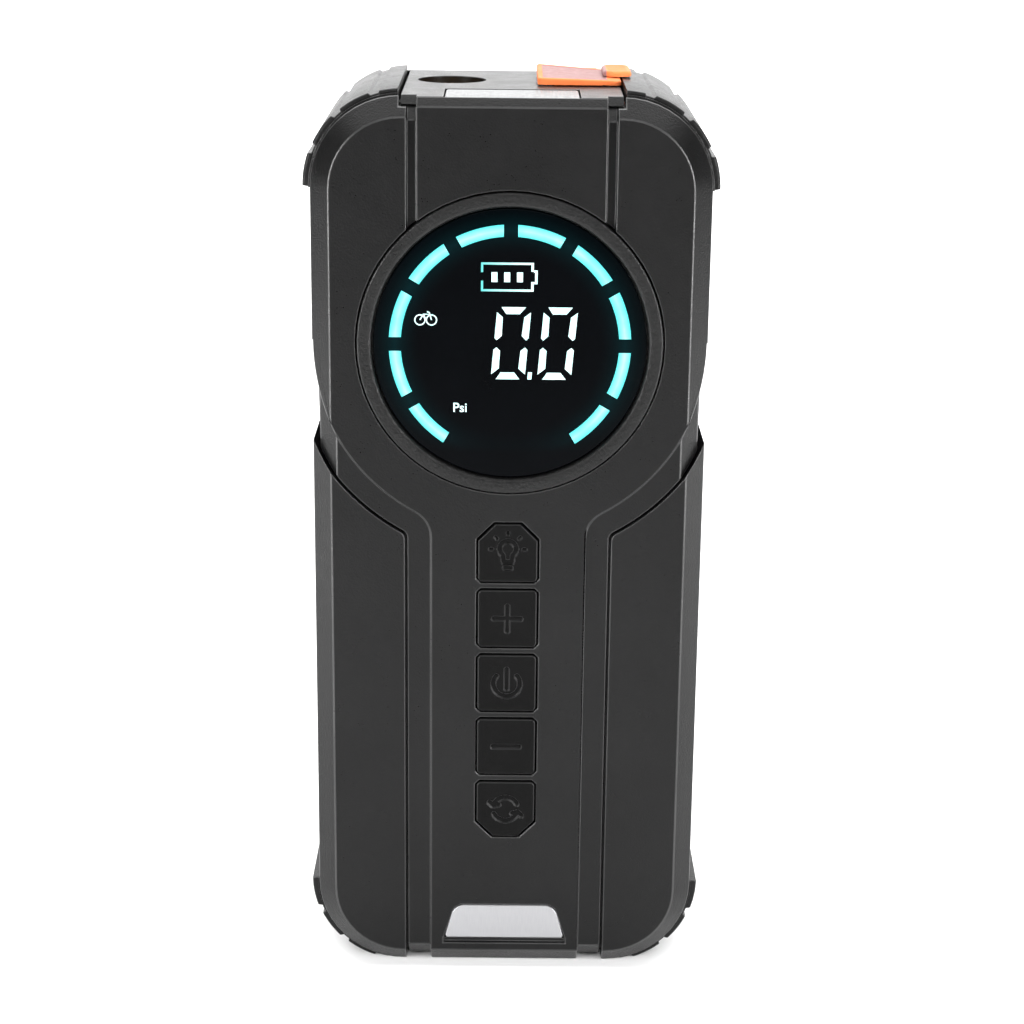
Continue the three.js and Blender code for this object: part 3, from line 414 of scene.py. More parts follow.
def pale_paper():
    """The studio sweep: even, pale and matt."""
    n = Nodes("pale_paper")
    n.link(n.mix(n.noise(3, 3), (0.86, 0.86, 0.86, 1), (0.88, 0.88, 0.88, 1)), "Base Color")
    n.link(n.spread(n.noise(200, 2), 0.85, 0.95), "Roughness")
    return n.material


# ---- the ring of light ----
RING_OUTER = 27.35 * MM
RING_INNER = 24.65 * MM
RING_MIDDLE = (RING_OUTER + RING_INNER) / 2
RING_WIDTH = RING_OUTER - RING_INNER
RING_HALF_GAP = 1.6 * MM
BAR_COUNT = 12
DARK_BARS = (5, 6)                # counted clockwise from the top, the first being 0

# ---- the cap over the jump socket ----
CAP_WIDTH = 19.2 * MM
CAP_LENGTH = 23.6 * MM
TAB_THICKNESS = 1.25 * MM
CAP_GAP = 0.3 * MM

FINE, COARSE = 2400, 1500         # scales of the moulded grain
CASING = moulded("casing_plastic", grey(0.0028, 1.02), 0.33, FINE, 0.00009, specular=0.2)
# Paler than the casing: a painted highlight for the casing's rounded edges.
CASING_EDGE_HIGHLIGHT = moulded("casing_edge_painted_highlight", grey(0.011), 0.32, FINE, 0.00004, spread=0.6)
BUMPER = moulded("bumper_rubber", grey(0.0018), 0.36, COARSE, 0.00010, specular=0.2)
BEZEL = moulded("bezel_plastic", grey(0.0035), 0.34, COARSE, 0.00016, specular=0.28)
KEY = moulded("key_rubber", grey(0.0012), 0.5, FINE, 0.00005, specular=0.09)
# Paler than the key: a painted highlight on the key's sloping edge and the sunk symbol's sides.
KEY_EDGE_HIGHLIGHT = moulded("key_edge_painted_highlight", grey(0.006), 0.4, FINE, 0.00004, specular=0.3)
INNER_PLASTIC = moulded("inner_plastic", grey(0.035, 1.1), 0.55, grain_scale=900)
NYLON = moulded("natural_nylon", (0.72, 0.69, 0.60, 1), 0.42, grain_scale=800, spread=0.06)
BLANK_LABEL = moulded("blank_label", grey(0.075), 0.4, grain_scale=1200, spread=0.08)
SILVER = brushed("satin_silver", (0.33, 0.33, 0.34, 1), 0.38, metallic=0.55)
STEEL = brushed("drawn_steel", (0.50, 0.50, 0.52, 1), 0.30, (40, 40, 900))
DARK_STEEL = brushed("blackened_steel", (0.10, 0.10, 0.105, 1), 0.42, (300, 300, 300), 0.8)
ALLOY = brushed("cast_alloy", (0.62, 0.62, 0.64, 1), 0.42, (300, 300, 300))
BRASS = brushed("turned_brass", (0.72, 0.47, 0.20, 1), 0.24, (60, 60, 1600))
LENS = black_glass()
LIGHT = lit_ring()
DIGITS = lit_digits()
SIGN = lit_sign()
ORANGE = orange_cap()
FROSTED = frosted_lens()
BOARD = solder_mask()
FOIL = crinkled_foil()


# ------------------------------------------------------------------ camera and studio
def set_camera():
    """A long lens, looking down a little, with a slight turn and roll."""
    pitch, yaw, roll = CAMERA_PITCH, CAMERA_YAW, CAMERA_ROLL
    forward = Vector((math.sin(yaw) * math.cos(pitch), math.cos(yaw) * math.cos(pitch),
                      -math.sin(pitch)))
    level = Vector((math.cos(yaw), -math.sin(yaw), 0))
    upright = level.cross(forward)
    right = level * math.cos(roll) + upright * math.sin(roll)
    up = upright * math.cos(roll) - level * math.sin(roll)
    camera = bpy.data.objects.new("camera", bpy.data.cameras.new("camera"))
    camera.data.lens = CAMERA_LENS_MM
    camera.data.sensor_width = 36
    camera.data.clip_start = 0.01
    turn = Matrix((right, up, -forward)).transposed().to_4x4()
    camera.matrix_world = Matrix.Translation(CAMERA_PLACE) @ turn
    bpy.context.scene.collection.objects.link(camera)
    bpy.context.scene.camera = camera


def soft_light(name, place, target, width, height, power):
    """A rectangular softbox that faces a target."""
    lamp = bpy.data.objects.new(name, bpy.data.lights.new(name, "AREA"))
    lamp.data.shape = "RECTANGLE"
    lamp.data.size = width
    lamp.data.size_y = height
    lamp.data.energy = power
    lamp.location = place
    lamp.rotation_euler = (Vector(target) - Vector(place)).to_track_quat("-Z", "Y").to_euler()
    bpy.context.scene.collection.objects.link(lamp)


def build_studio():
    """A pale floor that curves up into a wall, with softboxes over, before, beside and behind the
    pack and one that washes the wall."""
    radius = 0.8
    floor_front, wall_y, wall_top = -3.0, 2.2, 3.2
    bend = [(wall_y - radius + radius * math.sin(a), radius - radius * math.cos(a))
            for a in np.linspace(0, math.pi / 2, 17)]
    line = np.array([(floor_front, 0.0)] + bend + [(wall_y, wall_top)])
    x, y = np.meshgrid(np.linspace(-3.5, 3.5, 9), line[:, 0], indexing="ij")
    z = np.broadcast_to(line[:, 1] - 0.2 * MM, y.shape)
    sheet = np.stack([x, y, z], -1)
    mesh = bpy.data.meshes.new("sweep")
    mesh.from_pydata(sheet.reshape(-1, 3).tolist(), [], grid_faces(*y.shape))
    mesh.polygons.foreach_set("use_smooth", np.ones(len(mesh.polygons), bool))
    mesh.materials.append(pale_paper())
    sweep = bpy.data.objects.new("sweep", mesh)
    bpy.context.scene.collection.objects.link(sweep)

    world = bpy.data.worlds.new("studio")
    world.use_nodes = True
    sky = world.node_tree.nodes["Background"]
    sky.inputs["Color"].default_value = (1, 1, 1, 1)
    sky.inputs["Strength"].default_value = 0.22
    bpy.context.scene.world = world
    bpy.context.scene.view_settings.view_transform = "Standard"

    middle = (0, 0, HEIGHT * 0.5)
    soft_light("overhead", (0, 0.85, 1.5), (0, 0.85, 0), 2.8, 2.2, 80)
    soft_light("front_softbox", (0, -1.7, 1.2), middle, 1.1, 0.5, 12)
    for side in (-1, 1):
        soft_light("strip_softbox", (side * 0.46, -0.42, 0.21), middle, 0.12, 0.42, 4.6)
        soft_light("side_card", (side * 0.34, -0.02, 0.05), (0, -0.02, 0.05), 0.5, 0.09, 0.3)
    soft_light("rear_softbox", (0, 1.3, 0.68), (0, 0, HEIGHT), 1.8, 0.7, 1)
    soft_light("wall_wash", (0, 1.2, 1.4), (0, 2.2, 0.7), 2.0, 0.8, 8)


# ------------------------------------------------------------------ carried CAD pieces
FLAT_ANGLE = math.radians(1.5)    # faces that meet under this are joined
HARD_ANGLE = math.radians(28)     # edges over this are rounded


def soften(piece, width):
    """Rounds a CAD piece's hard edges: its points are merged, its flat faces rejoined, then the
    edges bevelled. The rounded edges take the piece's last material."""
    weld = piece.modifiers.new("weld", "WELD")
    weld.merge_threshold = 1e-6
    flat = piece.modifiers.new("flat", "DECIMATE")
    flat.decimate_type = "DISSOLVE"
    flat.angle_limit = FLAT_ANGLE
    bevel = piece.modifiers.new("bevel", "BEVEL")
    bevel.limit_method = "ANGLE"
    bevel.angle_limit = HARD_ANGLE
    bevel.width = width
    bevel.segments = 3
    bevel.use_clamp_overlap = False
    bevel.material = len(piece.data.materials) - 1
    even = piece.modifiers.new("even", "WEIGHTED_NORMAL")
    even.keep_sharp = False


# CAD pieces kept as they are, with their material and the width of their rounded edges in mm.
CARRIED = {
    "front_shell": (CASING, 0.28), "rear_shell": (CASING, 0.28), "top_panel": (CASING, 0.2),
    "lower_cover_left": (CASING, 0.28), "lower_cover_right": (CASING, 0.28),
    "rear_label": (BLANK_LABEL, 0.15), "port_flap": (BUMPER, 0.3),
    "light_guide": (FROSTED, 0.15), "display_board": (BOARD, 0.1), "key_board": (BOARD, 0.1),
    "lamp_board": (BOARD, 0.1), "port_board": (BOARD, 0.1), "main_board": (BOARD, 0.15),
    "lamp_reflector": (SILVER, 0.15), "jump_socket": (INNER_PLASTIC, 0.2),
    "contact_front": (BRASS, 0.1), "contact_rear": (BRASS, 0.1), "cap_strap": (ORANGE, 0.15),
    "usb_a_port": (STEEL, 0.1), "usb_c_port": (STEEL, 0.1), "battery_tray": (INNER_PLASTIC, 0.2),
    "motor": (STEEL, 0.2), "pump_frame": (INNER_PLASTIC, 0.2), "gear_axle": (STEEL, 0.1),
    "motor_pinion": (BRASS, 0.08), "crank_gear": (NYLON, 0.08), "piston": (NYLON, 0.1),
    "pump_cylinder": (ALLOY, 0.2), "cylinder_head": (ALLOY, 0.2), "air_tube": (KEY, 0.1),
}


for cell in range(1, 5):
    CARRIED[f"battery_cell_{cell}"] = (FOIL, 0.3)
for corner in ("lower_left", "lower_right", "upper_left", "upper_right"):
    CARRIED[f"case_screw_{corner}"] = (DARK_STEEL, 0.12)


def dress_cad_pieces():
    """Gives every kept CAD piece its material and rounds its edges. The casing's rounded edges
    take a paler material than its faces: a painted highlight along them."""
    for node, (material, width) in CARRIED.items():
        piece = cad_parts[node]
        piece.data.materials.clear()
        piece.data.materials.append(material)
        if material is CASING:
            piece.data.materials.append(CASING_EDGE_HIGHLIGHT)
        soften(piece, width * MM)


# ------------------------------------------------------------------ rubber corners
CORNER_RADIUS = 20.5 * MM
FIRST_LUG_PROUD = 1.35 * MM
LUG_PROUD = 1.8 * MM
NOTCH_PROUD = 0.9 * MM
BAND_SUNK = 1.9 * MM
BEAD_RISE = 0.45 * MM
BEAD_WIDTH = 0.4 * MM

# Angles in degrees round an upper corner, from its top at 90 to its side at 180.
BUMPER_START = 92.3
LUG_COUNT = 4
LUG_PITCH = 25.5
LUG_ANGLE = 21
FIRST_LUG_END = 104
BUMPER_END = FIRST_LUG_END + LUG_PITCH * (LUG_COUNT - 1)


def lug_height(angle):
    """Height over the casing round the corner: lugs that grow from the first to the last, each
    with a soft start and a steep end, over a lower band."""
    height = np.full_like(angle, NOTCH_PROUD)
    for index in range(LUG_COUNT):
        end = FIRST_LUG_END + LUG_PITCH * index
        start = max(BUMPER_START - 2, end - LUG_ANGLE)
        top = FIRST_LUG_PROUD + (LUG_PROUD - FIRST_LUG_PROUD) * index / (LUG_COUNT - 1)
        shape = np.minimum(smooth_step((angle - start) / 1.6), smooth_step((end - angle) / 0.9))
        height = np.maximum(height, NOTCH_PROUD + (top - NOTCH_PROUD) * shape)
    return height * (0.3 + 0.7 * smooth_step((BUMPER_END - angle) / 0.8))


def bumper_section(front, back):
    """Depth, share of the lug's height and amount added to it, from the front face over the
    bead, the groove behind it, the lug's rounded edges and back to the rear face."""
    edge = 0.6 * MM
    bend, cut = 0.15 * MM, 0.04 * MM
    groove = front + BEAD_WIDTH
    face = groove + 0.15 * MM
    bead = [
        (front, 0, -BAND_SUNK), (front, 0, BEAD_RISE - bend), (front + 0.05 * MM, 0, BEAD_RISE - cut),
        (front + bend, 0, BEAD_RISE), (groove - bend, 0, BEAD_RISE), (groove - cut, 0, BEAD_RISE - cut),
        (groove, 0, BEAD_RISE - bend), (groove, 0, 0), (face, 0, 0),
    ]
    turns = np.radians((0, 22, 45, 68, 90))
    near = [(face + edge * (1 - math.cos(t)), 1, -edge * (1 - math.sin(t))) for t in turns]
    far = [(back - edge * (1 - math.cos(t)), 1, -edge * (1 - math.sin(t))) for t in turns[::-1]]
    return np.array(bead + near + far + [(back, 0, -BAND_SUNK)])


def build_bumper(corner, side, upper):
    """A section carried along the corner's arc. Its outer side rises and falls as lugs, its long
    edges are rounded, and a lower one is flat where it meets the floor."""
    node = f"bumper_{corner}"
    low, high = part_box(node)
    angle = np.linspace(BUMPER_START, BUMPER_END, 300)
    section = bumper_section(low.y, high.y)
    radius = CORNER_RADIUS + lug_height(angle)[:, None] * section[:, 1] + section[:, 2]
    radius = np.maximum(radius, CORNER_RADIUS - BAND_SUNK)
    a = np.radians(angle)[:, None]
    x = side * (HALF_WIDTH - CORNER_RADIUS - radius * np.cos(a))
    z = HEIGHT - CORNER_RADIUS + radius * np.sin(a)
    if not upper:
        z = np.maximum(HEIGHT - z, 0)
    y = np.broadcast_to(section[:, 0], x.shape)
    grid = np.stack([x, y, z], -1)
    rows, columns = grid.shape[:2]
    faces = grid_faces(rows, columns, wrap_columns=True)
    faces.append(list(range(columns)))
    faces.append(list(range((rows - 1) * columns, rows * columns)))
    mesh = build(f"rubber_{corner}", grid, faces)
    finish_piece(f"rubber_{corner}", mesh, BUMPER, "pack", [node])


# ------------------------------------------------------------------ display
def build_bezel():
    """A ring turned from a profile: rounded outer edge, a face that falls inwards, a fine lip
    round the lens and a shelf behind it."""
    low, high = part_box("bezel_ring")
    growth, gap = 0.12 * MM, 0.3 * MM
    outer = (high.x - low.x) / 2 + growth
    inner = LENS_RADIUS + gap
    shelf = LENS_RADIUS - 1.7 * MM
    face, back, shelf_y = low.y, high.y, LENS_HIGH.y + gap
    edge, lip, fall = 0.45 * MM, 0.42 * MM, 0.18 * MM
    profile = [(outer, back)]
    profile += quarter((outer - edge, face + edge), edge, -90)[::-1]
    profile += [(inner + 1.2 * MM, face + 0.1 * MM), (inner + lip + 0.06 * MM, face + 0.14 * MM),
                (inner + lip, face + fall), (inner + 0.05 * MM, face + fall + lip)]
    profile += [(inner, shelf_y), (shelf, shelf_y), (shelf, back), (outer, back)]
    grid, faces = turned(profile, (0, 0, DISPLAY_Z), "y", 160)
    finish_piece("bezel", build("bezel", grid, faces, 50), BEZEL, "pack", ["bezel_ring"])


def build_lens():
    """A flat disc with a small round edge, turned from its profile."""
    edge = 0.25 * MM
    profile = [(0, LENS_HIGH.y), (LENS_RADIUS, LENS_HIGH.y)]
    profile += quarter((LENS_RADIUS - edge, LENS_FACE + edge), edge, -90)[::-1]
    profile += [(LENS_RADIUS * share, LENS_FACE) for share in (0.75, 0.5, 0.25)]
    profile += [(0, LENS_FACE)]
    grid, faces = turned(profile, (0, 0, DISPLAY_Z), "y", 160)
    finish_piece("lens", build("lens", grid, faces), LENS, "pack", ["display_lens"])


SLAB_RISE = 0.04 * MM


def lit_slab(outline):
    """A thin slab of light on the lens from an outline of (x, z)."""
    outline = np.asarray(outline, float)
    count = len(outline)
    front = np.stack([outline[:, 0], np.full(count, LENS_FACE - SLAB_RISE), outline[:, 1]], -1)
    back = front + np.array([0, 2 * SLAB_RISE, 0])
    ring = np.arange(count)
    sides = np.stack([ring, np.roll(ring, -1), np.roll(ring, -1) + count, ring + count], -1).tolist()
    faces = sides + [ring.tolist(), (ring + count).tolist()]
    return np.concatenate([front, back]), faces


def joined_slabs(name, outlines, material):
    """Several slabs of light as one piece."""
    points, faces, start = [], [], 0
    for outline in outlines:
        more, quads = lit_slab(outline)
        points.append(more)
        faces += [[i + start for i in quad] for quad in quads]
        start += len(more)
    mesh = build(name, np.concatenate(points), faces, 30)
    finish_piece(name, mesh, material, "pack", ())


def ring_bar(index):
    """One bar of the ring: two arcs, with ends parallel to the gap's own radius."""
    first = math.radians(90 - 360 / BAR_COUNT * index)
    last = math.radians(90 - 360 / BAR_COUNT * (index + 1))
    sides = []
    for radius in (RING_OUTER, RING_INNER):
        trim = math.asin(RING_HALF_GAP / radius)
        angle = np.linspace(first - trim, last + trim, 17)
        sides.append(np.stack([radius * np.cos(angle), DISPLAY_Z + radius * np.sin(angle)], -1))
    return np.concatenate([sides[0], sides[1][::-1]])


# Sizes of the digits, in millimetres.
SLANT = math.tan(math.radians(4.9))
DIGIT_WIDTH = 7.65
DIGIT_HEIGHT = 16.6
STROKE = 1.58


def slanted(points, origin):
    """Leans an outline given in millimetres to the right and moves it to its place."""
    points = np.asarray(points, float) * MM
    return np.stack([points[:, 0] + points[:, 1] * SLANT, points[:, 1]], -1) + np.array(origin)


def zero_digit(origin):
    """The six lit segments of a zero: two level ones and four upright ones with pointed ends."""
    w, h, t = DIGIT_WIDTH, DIGIT_HEIGHT, STROKE
    level = [[(0.95, h), (w - 1.25, h), (w - 2.5, h - t), (2.1, h - t)],
             [(1.15, 0), (w - 1.15, 0), (w - 2.5, t), (2.1, t)]]
    upper = [(0, h - 1.2), (1.4, h - 2.3), (1.56, h - 6.6), (0.5, h - 7.6), (0, h - 7.1)]
    lower = [(0.6, 7.35), (1.5, 6.6), (1.6, 2.5), (0, 1.15), (0, 6.8)]
    upright = [upper, lower] + [[(w - x, z) for x, z in bar] for bar in (upper, lower)]
    return [slanted(bar, origin) for bar in level + upright]


def rectangle(x0, x1, z0, z1):
    """The four corners of an upright rectangle."""
    return [(x0, z0), (x1, z0), (x1, z1), (x0, z1)]


def stroke_outline(points, width):
    """A band of a width along a line of points, for the small symbols."""
    points = np.asarray(points, float)
    step = np.gradient(points, axis=0)
    step /= np.linalg.norm(step, axis=1)[:, None]
    side = np.stack([-step[:, 1], step[:, 0]], -1) * width / 2
    return np.concatenate([points + side, (points - side)[::-1]])


def circle_line(x, z, radius):
    """Points once round a circle, the last on the first."""
    angle = np.radians(np.linspace(0, 360, 25))
    return np.stack([x + radius * np.cos(angle), z + radius * np.sin(angle)], -1)


def build_digits():
    """Two zeros with a point between them."""
    foot = DISPLAY_Z - 7.9 * MM
    left = -4.3 * MM
    pitch = 10.5 * MM
    digits = zero_digit((left, foot)) + zero_digit((left + pitch, foot))
    digits.append(slanted(rectangle(8.3, 9.2, 0, 1.65), (left, foot)))
    joined_slabs("lit_digit_bars", digits, DIGITS)


def build_battery_sign():
    """A broken outline with a knob on its right, and three bars of charge inside it."""
    def at(x0, x1, z0, z1):
        return [(x * MM, DISPLAY_Z + z * MM) for x, z in rectangle(x0, x1, z0, z1)]

    low, high, left, right = 12.27, 18.8, -6.62, 5.18
    line, wide_line = 0.47, 0.55
    knob, knob_end = right + 0.3, right + 0.85
    outline = [
        at(left, right, high - line, high), at(left, right, low, low + line),
        at(left, left + line, low + line, low + 2.4), at(left, left + line, high - 2.2, high - line),
        at(right - wide_line, right, low + line, low + 2.2),
        at(right - wide_line, right, high - 2.0, high - line),
        at(right, knob, low + 1.7, low + 2.2), at(right, knob, high - 2.2, high - 1.7),
        at(knob, knob_end, low + 1.7, high - 1.7),
    ]
    charge = [at(x, x + 1.33, 14.4, 16.6) for x in (-4.28, -1.44, 1.43)]
    joined_slabs("lit_battery_frame", outline, SIGN)
    joined_slabs("lit_battery_charge", charge, DIGITS)


def build_cycle_sign():
    """Two wheels, a frame and a fork, as fine lines."""
    middle_x, middle_z = -19.0 * MM, DISPLAY_Z + 5.6 * MM
    wheel, half_base = 1.15 * MM, 1.3 * MM
    lines = [circle_line(middle_x + side * half_base, middle_z, wheel) for side in (-1, 1)]
    body = [(-1.3, 0), (-0.5, 1.3), (0.9, 1.3), (0.1, 0.1), (-0.5, 1.3)]
    fork = [(1.3, 0), (0.8, 1.7), (0.3, 1.9)]
    lines += [[(middle_x + x * MM, middle_z + z * MM) for x, z in run] for run in (body, fork)]
    joined_slabs("lit_cycle_sign", [stroke_outline(run, 0.26 * MM) for run in lines], DIGITS)


def build_unit():
    """The unit of pressure in small plain letters, made a mesh and set on the lens."""
    text = bpy.data.curves.new("unit", "FONT")
    text.body = "Psi"
    text.size = 3.0 * MM
    text.extrude = SLAB_RISE
    text.offset = 0.03 * MM
    holder = bpy.data.objects.new("unit_text", text)
    bpy.context.scene.collection.objects.link(holder)
    bpy.context.view_layer.update()
    mesh = bpy.data.meshes.new_from_object(holder)
    bpy.data.objects.remove(holder)
    upright = Matrix.Rotation(math.pi / 2, 4, "X")
    place = Matrix.Translation((-12.9 * MM, LENS_FACE, DISPLAY_Z - 15.6 * MM))
    mesh.transform(place @ upright)
    mesh.materials.clear()
    finish_piece("lit_unit", mesh, DIGITS, "pack", ())


def build_readout():
    """The ring of light and everything inside it."""
    bars = [ring_bar(i) for i in range(BAR_COUNT) if i not in DARK_BARS]
    joined_slabs("lit_ring_bars", bars, LIGHT)
    build_digits()
    build_battery_sign()
    build_cycle_sign()
    build_unit()


# ------------------------------------------------------------------ keys
KEY_FLANGE = 0.8 * MM
KEY_CUT = 4.0 * MM
KEY_CORNER = 1.1 * MM
KEY_EDGE_RADIUS = 0.5 * MM
FLANGE_THICKNESS = 1.0 * MM
DISH_DEPTH = 0.12 * MM
SYMBOL_HALF_WIDTH = 0.58 * MM
SYMBOL_DEPTH = 0.5 * MM
SYMBOL_SIDE = 0.16 * MM           # how far the sunk symbol's sides slope


# The symbols' strokes are in millimetres from the key's middle; the distances are in metres.


def line_distance(x, z, start, end):
    """Distance of each point from a straight stroke."""
    ax, az = start[0] * MM, start[1] * MM
    bx, bz = end[0] * MM - ax, end[1] * MM - az
    t = np.clip(((x - ax) * bx + (z - az) * bz) / (bx * bx + bz * bz), 0, 1)
    return np.hypot(x - ax - t * bx, z - az - t * bz)


def arc_distance(x, z, centre, radius, start, end):
    """Distance of each point from an arc between two angles in degrees, anticlockwise."""
    cx, cz = centre[0] * MM, centre[1] * MM
    angle = np.degrees(np.arctan2(z - cz, x - cx))
    turn = (angle - start) % 360
    on_arc = np.abs(np.hypot(x - cx, z - cz) - radius * MM)
    ends = [np.hypot(x - cx - radius * MM * math.cos(math.radians(a)),
                     z - cz - radius * MM * math.sin(math.radians(a))) for a in (start, end)]
    return np.where(turn <= (end - start), on_arc, np.minimum(*ends))


def lamp_symbol(x, z):
    """A bulb on its cap, with five rays."""
    strokes = [arc_distance(x, z, (0, 1.0), 1.9, -50, 230)]
    for side in (-1, 1):
        strokes.append(line_distance(x, z, (side * 1.15, -0.5), (side * 0.9, -2.2)))
    strokes.append(line_distance(x, z, (-0.9, -2.2), (0.9, -2.2)))
    strokes.append(line_distance(x, z, (-0.7, -3.6), (0.7, -3.6)))
    for degrees in (0, 45, 90, 135, 180):
        c, s = math.cos(math.radians(degrees)), math.sin(math.radians(degrees))
        ray = line_distance(x, z, (3.6 * c, 1.0 + 3.6 * s), (4.1 * c, 1.0 + 4.1 * s))
        thinner = 0.2 * MM
        strokes.append(ray + thinner)
    return np.minimum.reduce(strokes)


def minus_symbol(x, z):
    """One level stroke."""
    return line_distance(x, z, (-3.1, 0), (3.1, 0))


def plus_symbol(x, z):
    """A level and an upright stroke."""
    return np.minimum(minus_symbol(x, z), line_distance(x, z, (0, -3.1), (0, 3.1)))


def power_symbol(x, z):
    """A ring open at the top, with an upright stroke in the opening."""
    ring = arc_distance(x, z, (0, -0.2), 3.1, 140, 400)
    return np.minimum(ring, line_distance(x, z, (0, -1.4), (0, 3.5)))


def mode_symbol(x, z):
    """Two arrows that chase each other round a circle."""
    strokes = []
    radius, barb, sweep = 3.0, 1.3, 140
    for start in (25, 205):
        strokes.append(arc_distance(x, z, (0, 0), radius, start, start + sweep))
        a = math.radians(start + sweep)
        tip = (radius * math.cos(a), radius * math.sin(a))
        for turn in (30, 150):
            b = a - math.radians(turn)
            end = (tip[0] + barb * math.cos(b), tip[1] + barb * math.sin(b))
            strokes.append(line_distance(x, z, tip, end))
    return np.minimum.reduce(strokes)


# Each key's symbol and the sizes of its lower and upper corners: cut where large, else round.
KEYS = {
    "lamp": (lamp_symbol, KEY_CORNER, KEY_CUT), "plus": (plus_symbol, KEY_CORNER, KEY_CORNER),
    "power": (power_symbol, KEY_CORNER, KEY_CORNER), "minus": (minus_symbol, KEY_CORNER, KEY_CORNER),
    "mode": (mode_symbol, KEY_CUT, KEY_CORNER),
}


def mark_slopes(mesh, deepest):
    """Gives the second, paler material, a painted highlight, to sloping faces as far back as a depth."""
    normals = np.zeros(len(mesh.polygons) * 3)
    mesh.polygons.foreach_get("normal", normals)
    centres = np.zeros(len(mesh.polygons) * 3)
    mesh.polygons.foreach_get("center", centres)
    facing = -normals[1::3]
    slopes = (facing > 0.15) & (facing < 0.9) & (centres[1::3] < deepest)
    mesh.polygons.foreach_set("material_index", slopes.astype(np.int32))


def build_key(name, symbol, foot, top):
    """A key as a height over its outline: quarter-round edges, a slightly dished face and a
    sunk symbol, where the depth falls off with distance from the symbol's strokes. Loops
    behind it make the stem and the flange."""
    low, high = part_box(f"{name}_button")
    half = (high.x - low.x) / 2 - KEY_FLANGE
    z0, z1 = low.z + KEY_FLANGE, high.z - KEY_FLANGE
    shape = rounded_half_width(half, z0, z1, foot, top, foot < KEY_CUT, top < KEY_CUT)
    across, up, distance = outline_grid(shape, z0, z1, 132, 132)
    middle = (z0 + z1) / 2
    drop = edge_drop(distance, KEY_EDGE_RADIUS)
    dish = DISH_DEPTH * smooth_step((distance - 0.6 * MM) / (4 * MM))
    stroke = symbol(across, up - middle)
    sunk = SYMBOL_DEPTH * smooth_step((SYMBOL_HALF_WIDTH - stroke) / SYMBOL_SIDE + 0.5)
    front = np.stack([across, low.y + drop + dish + sunk, up], -1)
    centre = np.array([0, 0, middle])
    stem = rim_at(front, 1, high.y - FLANGE_THICKNESS)
    grow = np.array([(half + KEY_FLANGE) / half, 1, (z1 - z0 + 2 * KEY_FLANGE) / (z1 - z0)])
    flange = (stem - centre) * grow + centre
    flange_back = flange.copy()
    flange_back[:, 1] = high.y
    points, faces = capped(front, [stem, flange, flange_back])
    mesh = build(f"{name}_key_cap", points, faces, 60)
    mesh.materials.append(KEY)
    # The sloping edge and the symbol's sides take the paler material: a painted highlight.
    mark_slopes(mesh, low.y + 1.2 * MM)
    finish_piece(f"{name}_key_cap", mesh, KEY_EDGE_HIGHLIGHT, f"{name}_key", [f"{name}_button"])


# ------------------------------------------------------------------ foot trim and top fittings
def build_trim():
    """A plate as a height over its outline: sloping sides, round upper corners, a rounded rim
    and a face that bulges very slightly."""
    low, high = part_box("foot_trim_plate")
    half_low = (high.x - low.x) / 2
    narrowing = 2.2 * MM
    corner = 2.6 * MM
    foot_cut = 0.7 * MM

    def half_width(up):
        share = (up - low.z) / (high.z - low.z)
        depth = np.clip(up - (high.z - corner), 0, corner)
        foot = np.clip(low.z + foot_cut - up, 0, foot_cut)
        rounding = corner - np.sqrt(corner ** 2 - depth ** 2)
        return half_low - narrowing * share - rounding - foot * 0.7

    across, up, distance = outline_grid(half_width, low.z, high.z, 90, 50)
    bulge = 0.1 * MM * (1 - smooth_step(distance / (3 * MM)))
    face = low.y + edge_drop(distance, 0.4 * MM) + bulge
    front = np.stack([across, face, up], -1)
    capped_piece("foot_trim", front, [rim_at(front, 1, high.y)], SILVER, "pack",
                 ["foot_trim_plate"])


def flat_plate(low, high, corner, edge, columns=60, rows=60):
    """Top of a level plate with round corners and a quarter-round edge, and each point's
    distance from the outline."""
    half = (high.x - low.x) / 2
    middle = (high.x + low.x) / 2
    shape = rounded_half_width(half, low.y, high.y, corner, corner)
    across, along, distance = outline_grid(shape, low.y, high.y, columns, rows)
    top = high.z - edge_drop(distance, edge)
    return np.stack([across + middle, along, top], -1), distance


def build_lamp_lens():
    """A level plate with round corners whose top bulges towards the middle."""
    low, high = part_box("lamp_lens")
    top, distance = flat_plate(low, high, 1.2 * MM, 0.3 * MM)
    top[..., 2] -= 0.12 * MM * (1 - smooth_step(distance / (4 * MM)))
    capped_piece("lamp_window", top, [rim_at(top, 2, low.z)], FROSTED, "pack", ["lamp_lens"])


def build_cap():
    """The socket cap: a soft level plate that thickens and lifts towards its far left corner,
    with a sunk field on top, a pull tab, the neck between them and a plug skirt below."""
    low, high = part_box("socket_cap")
    plate_low = HEIGHT + CAP_GAP
    x0, x1 = low.x, low.x + CAP_WIDTH
    y0, y1 = low.y, low.y + CAP_LENGTH
    top, distance = flat_plate(Vector((x0, y0, plate_low)), Vector((x1, y1, plate_low + MM)),
                               1.3 * MM, 0.45 * MM, 110, 130)
    left = np.clip((x1 - top[..., 0]) / (x1 - x0), 0, 1)
    far = np.clip((top[..., 1] - y0) / (y1 - y0), 0, 1)
    field = (smooth_step((distance - 1.1 * MM) / (0.25 * MM))
             * smooth_step((x1 - 3.4 * MM - top[..., 0]) / (0.3 * MM)))
    top[..., 2] += left * (0.55 + 0.95 * far) * MM - 0.18 * MM * field
    bottom = top.copy()
    bottom[..., 2] = plate_low + 0.5 * MM * left * far
    capped_piece("cap_plate", top, [edge_of(bottom)], ORANGE, "cap", ["socket_cap"])
    build_cap_tab(high, x1, y1, plate_low)
    build_cap_skirt(low, plate_low)


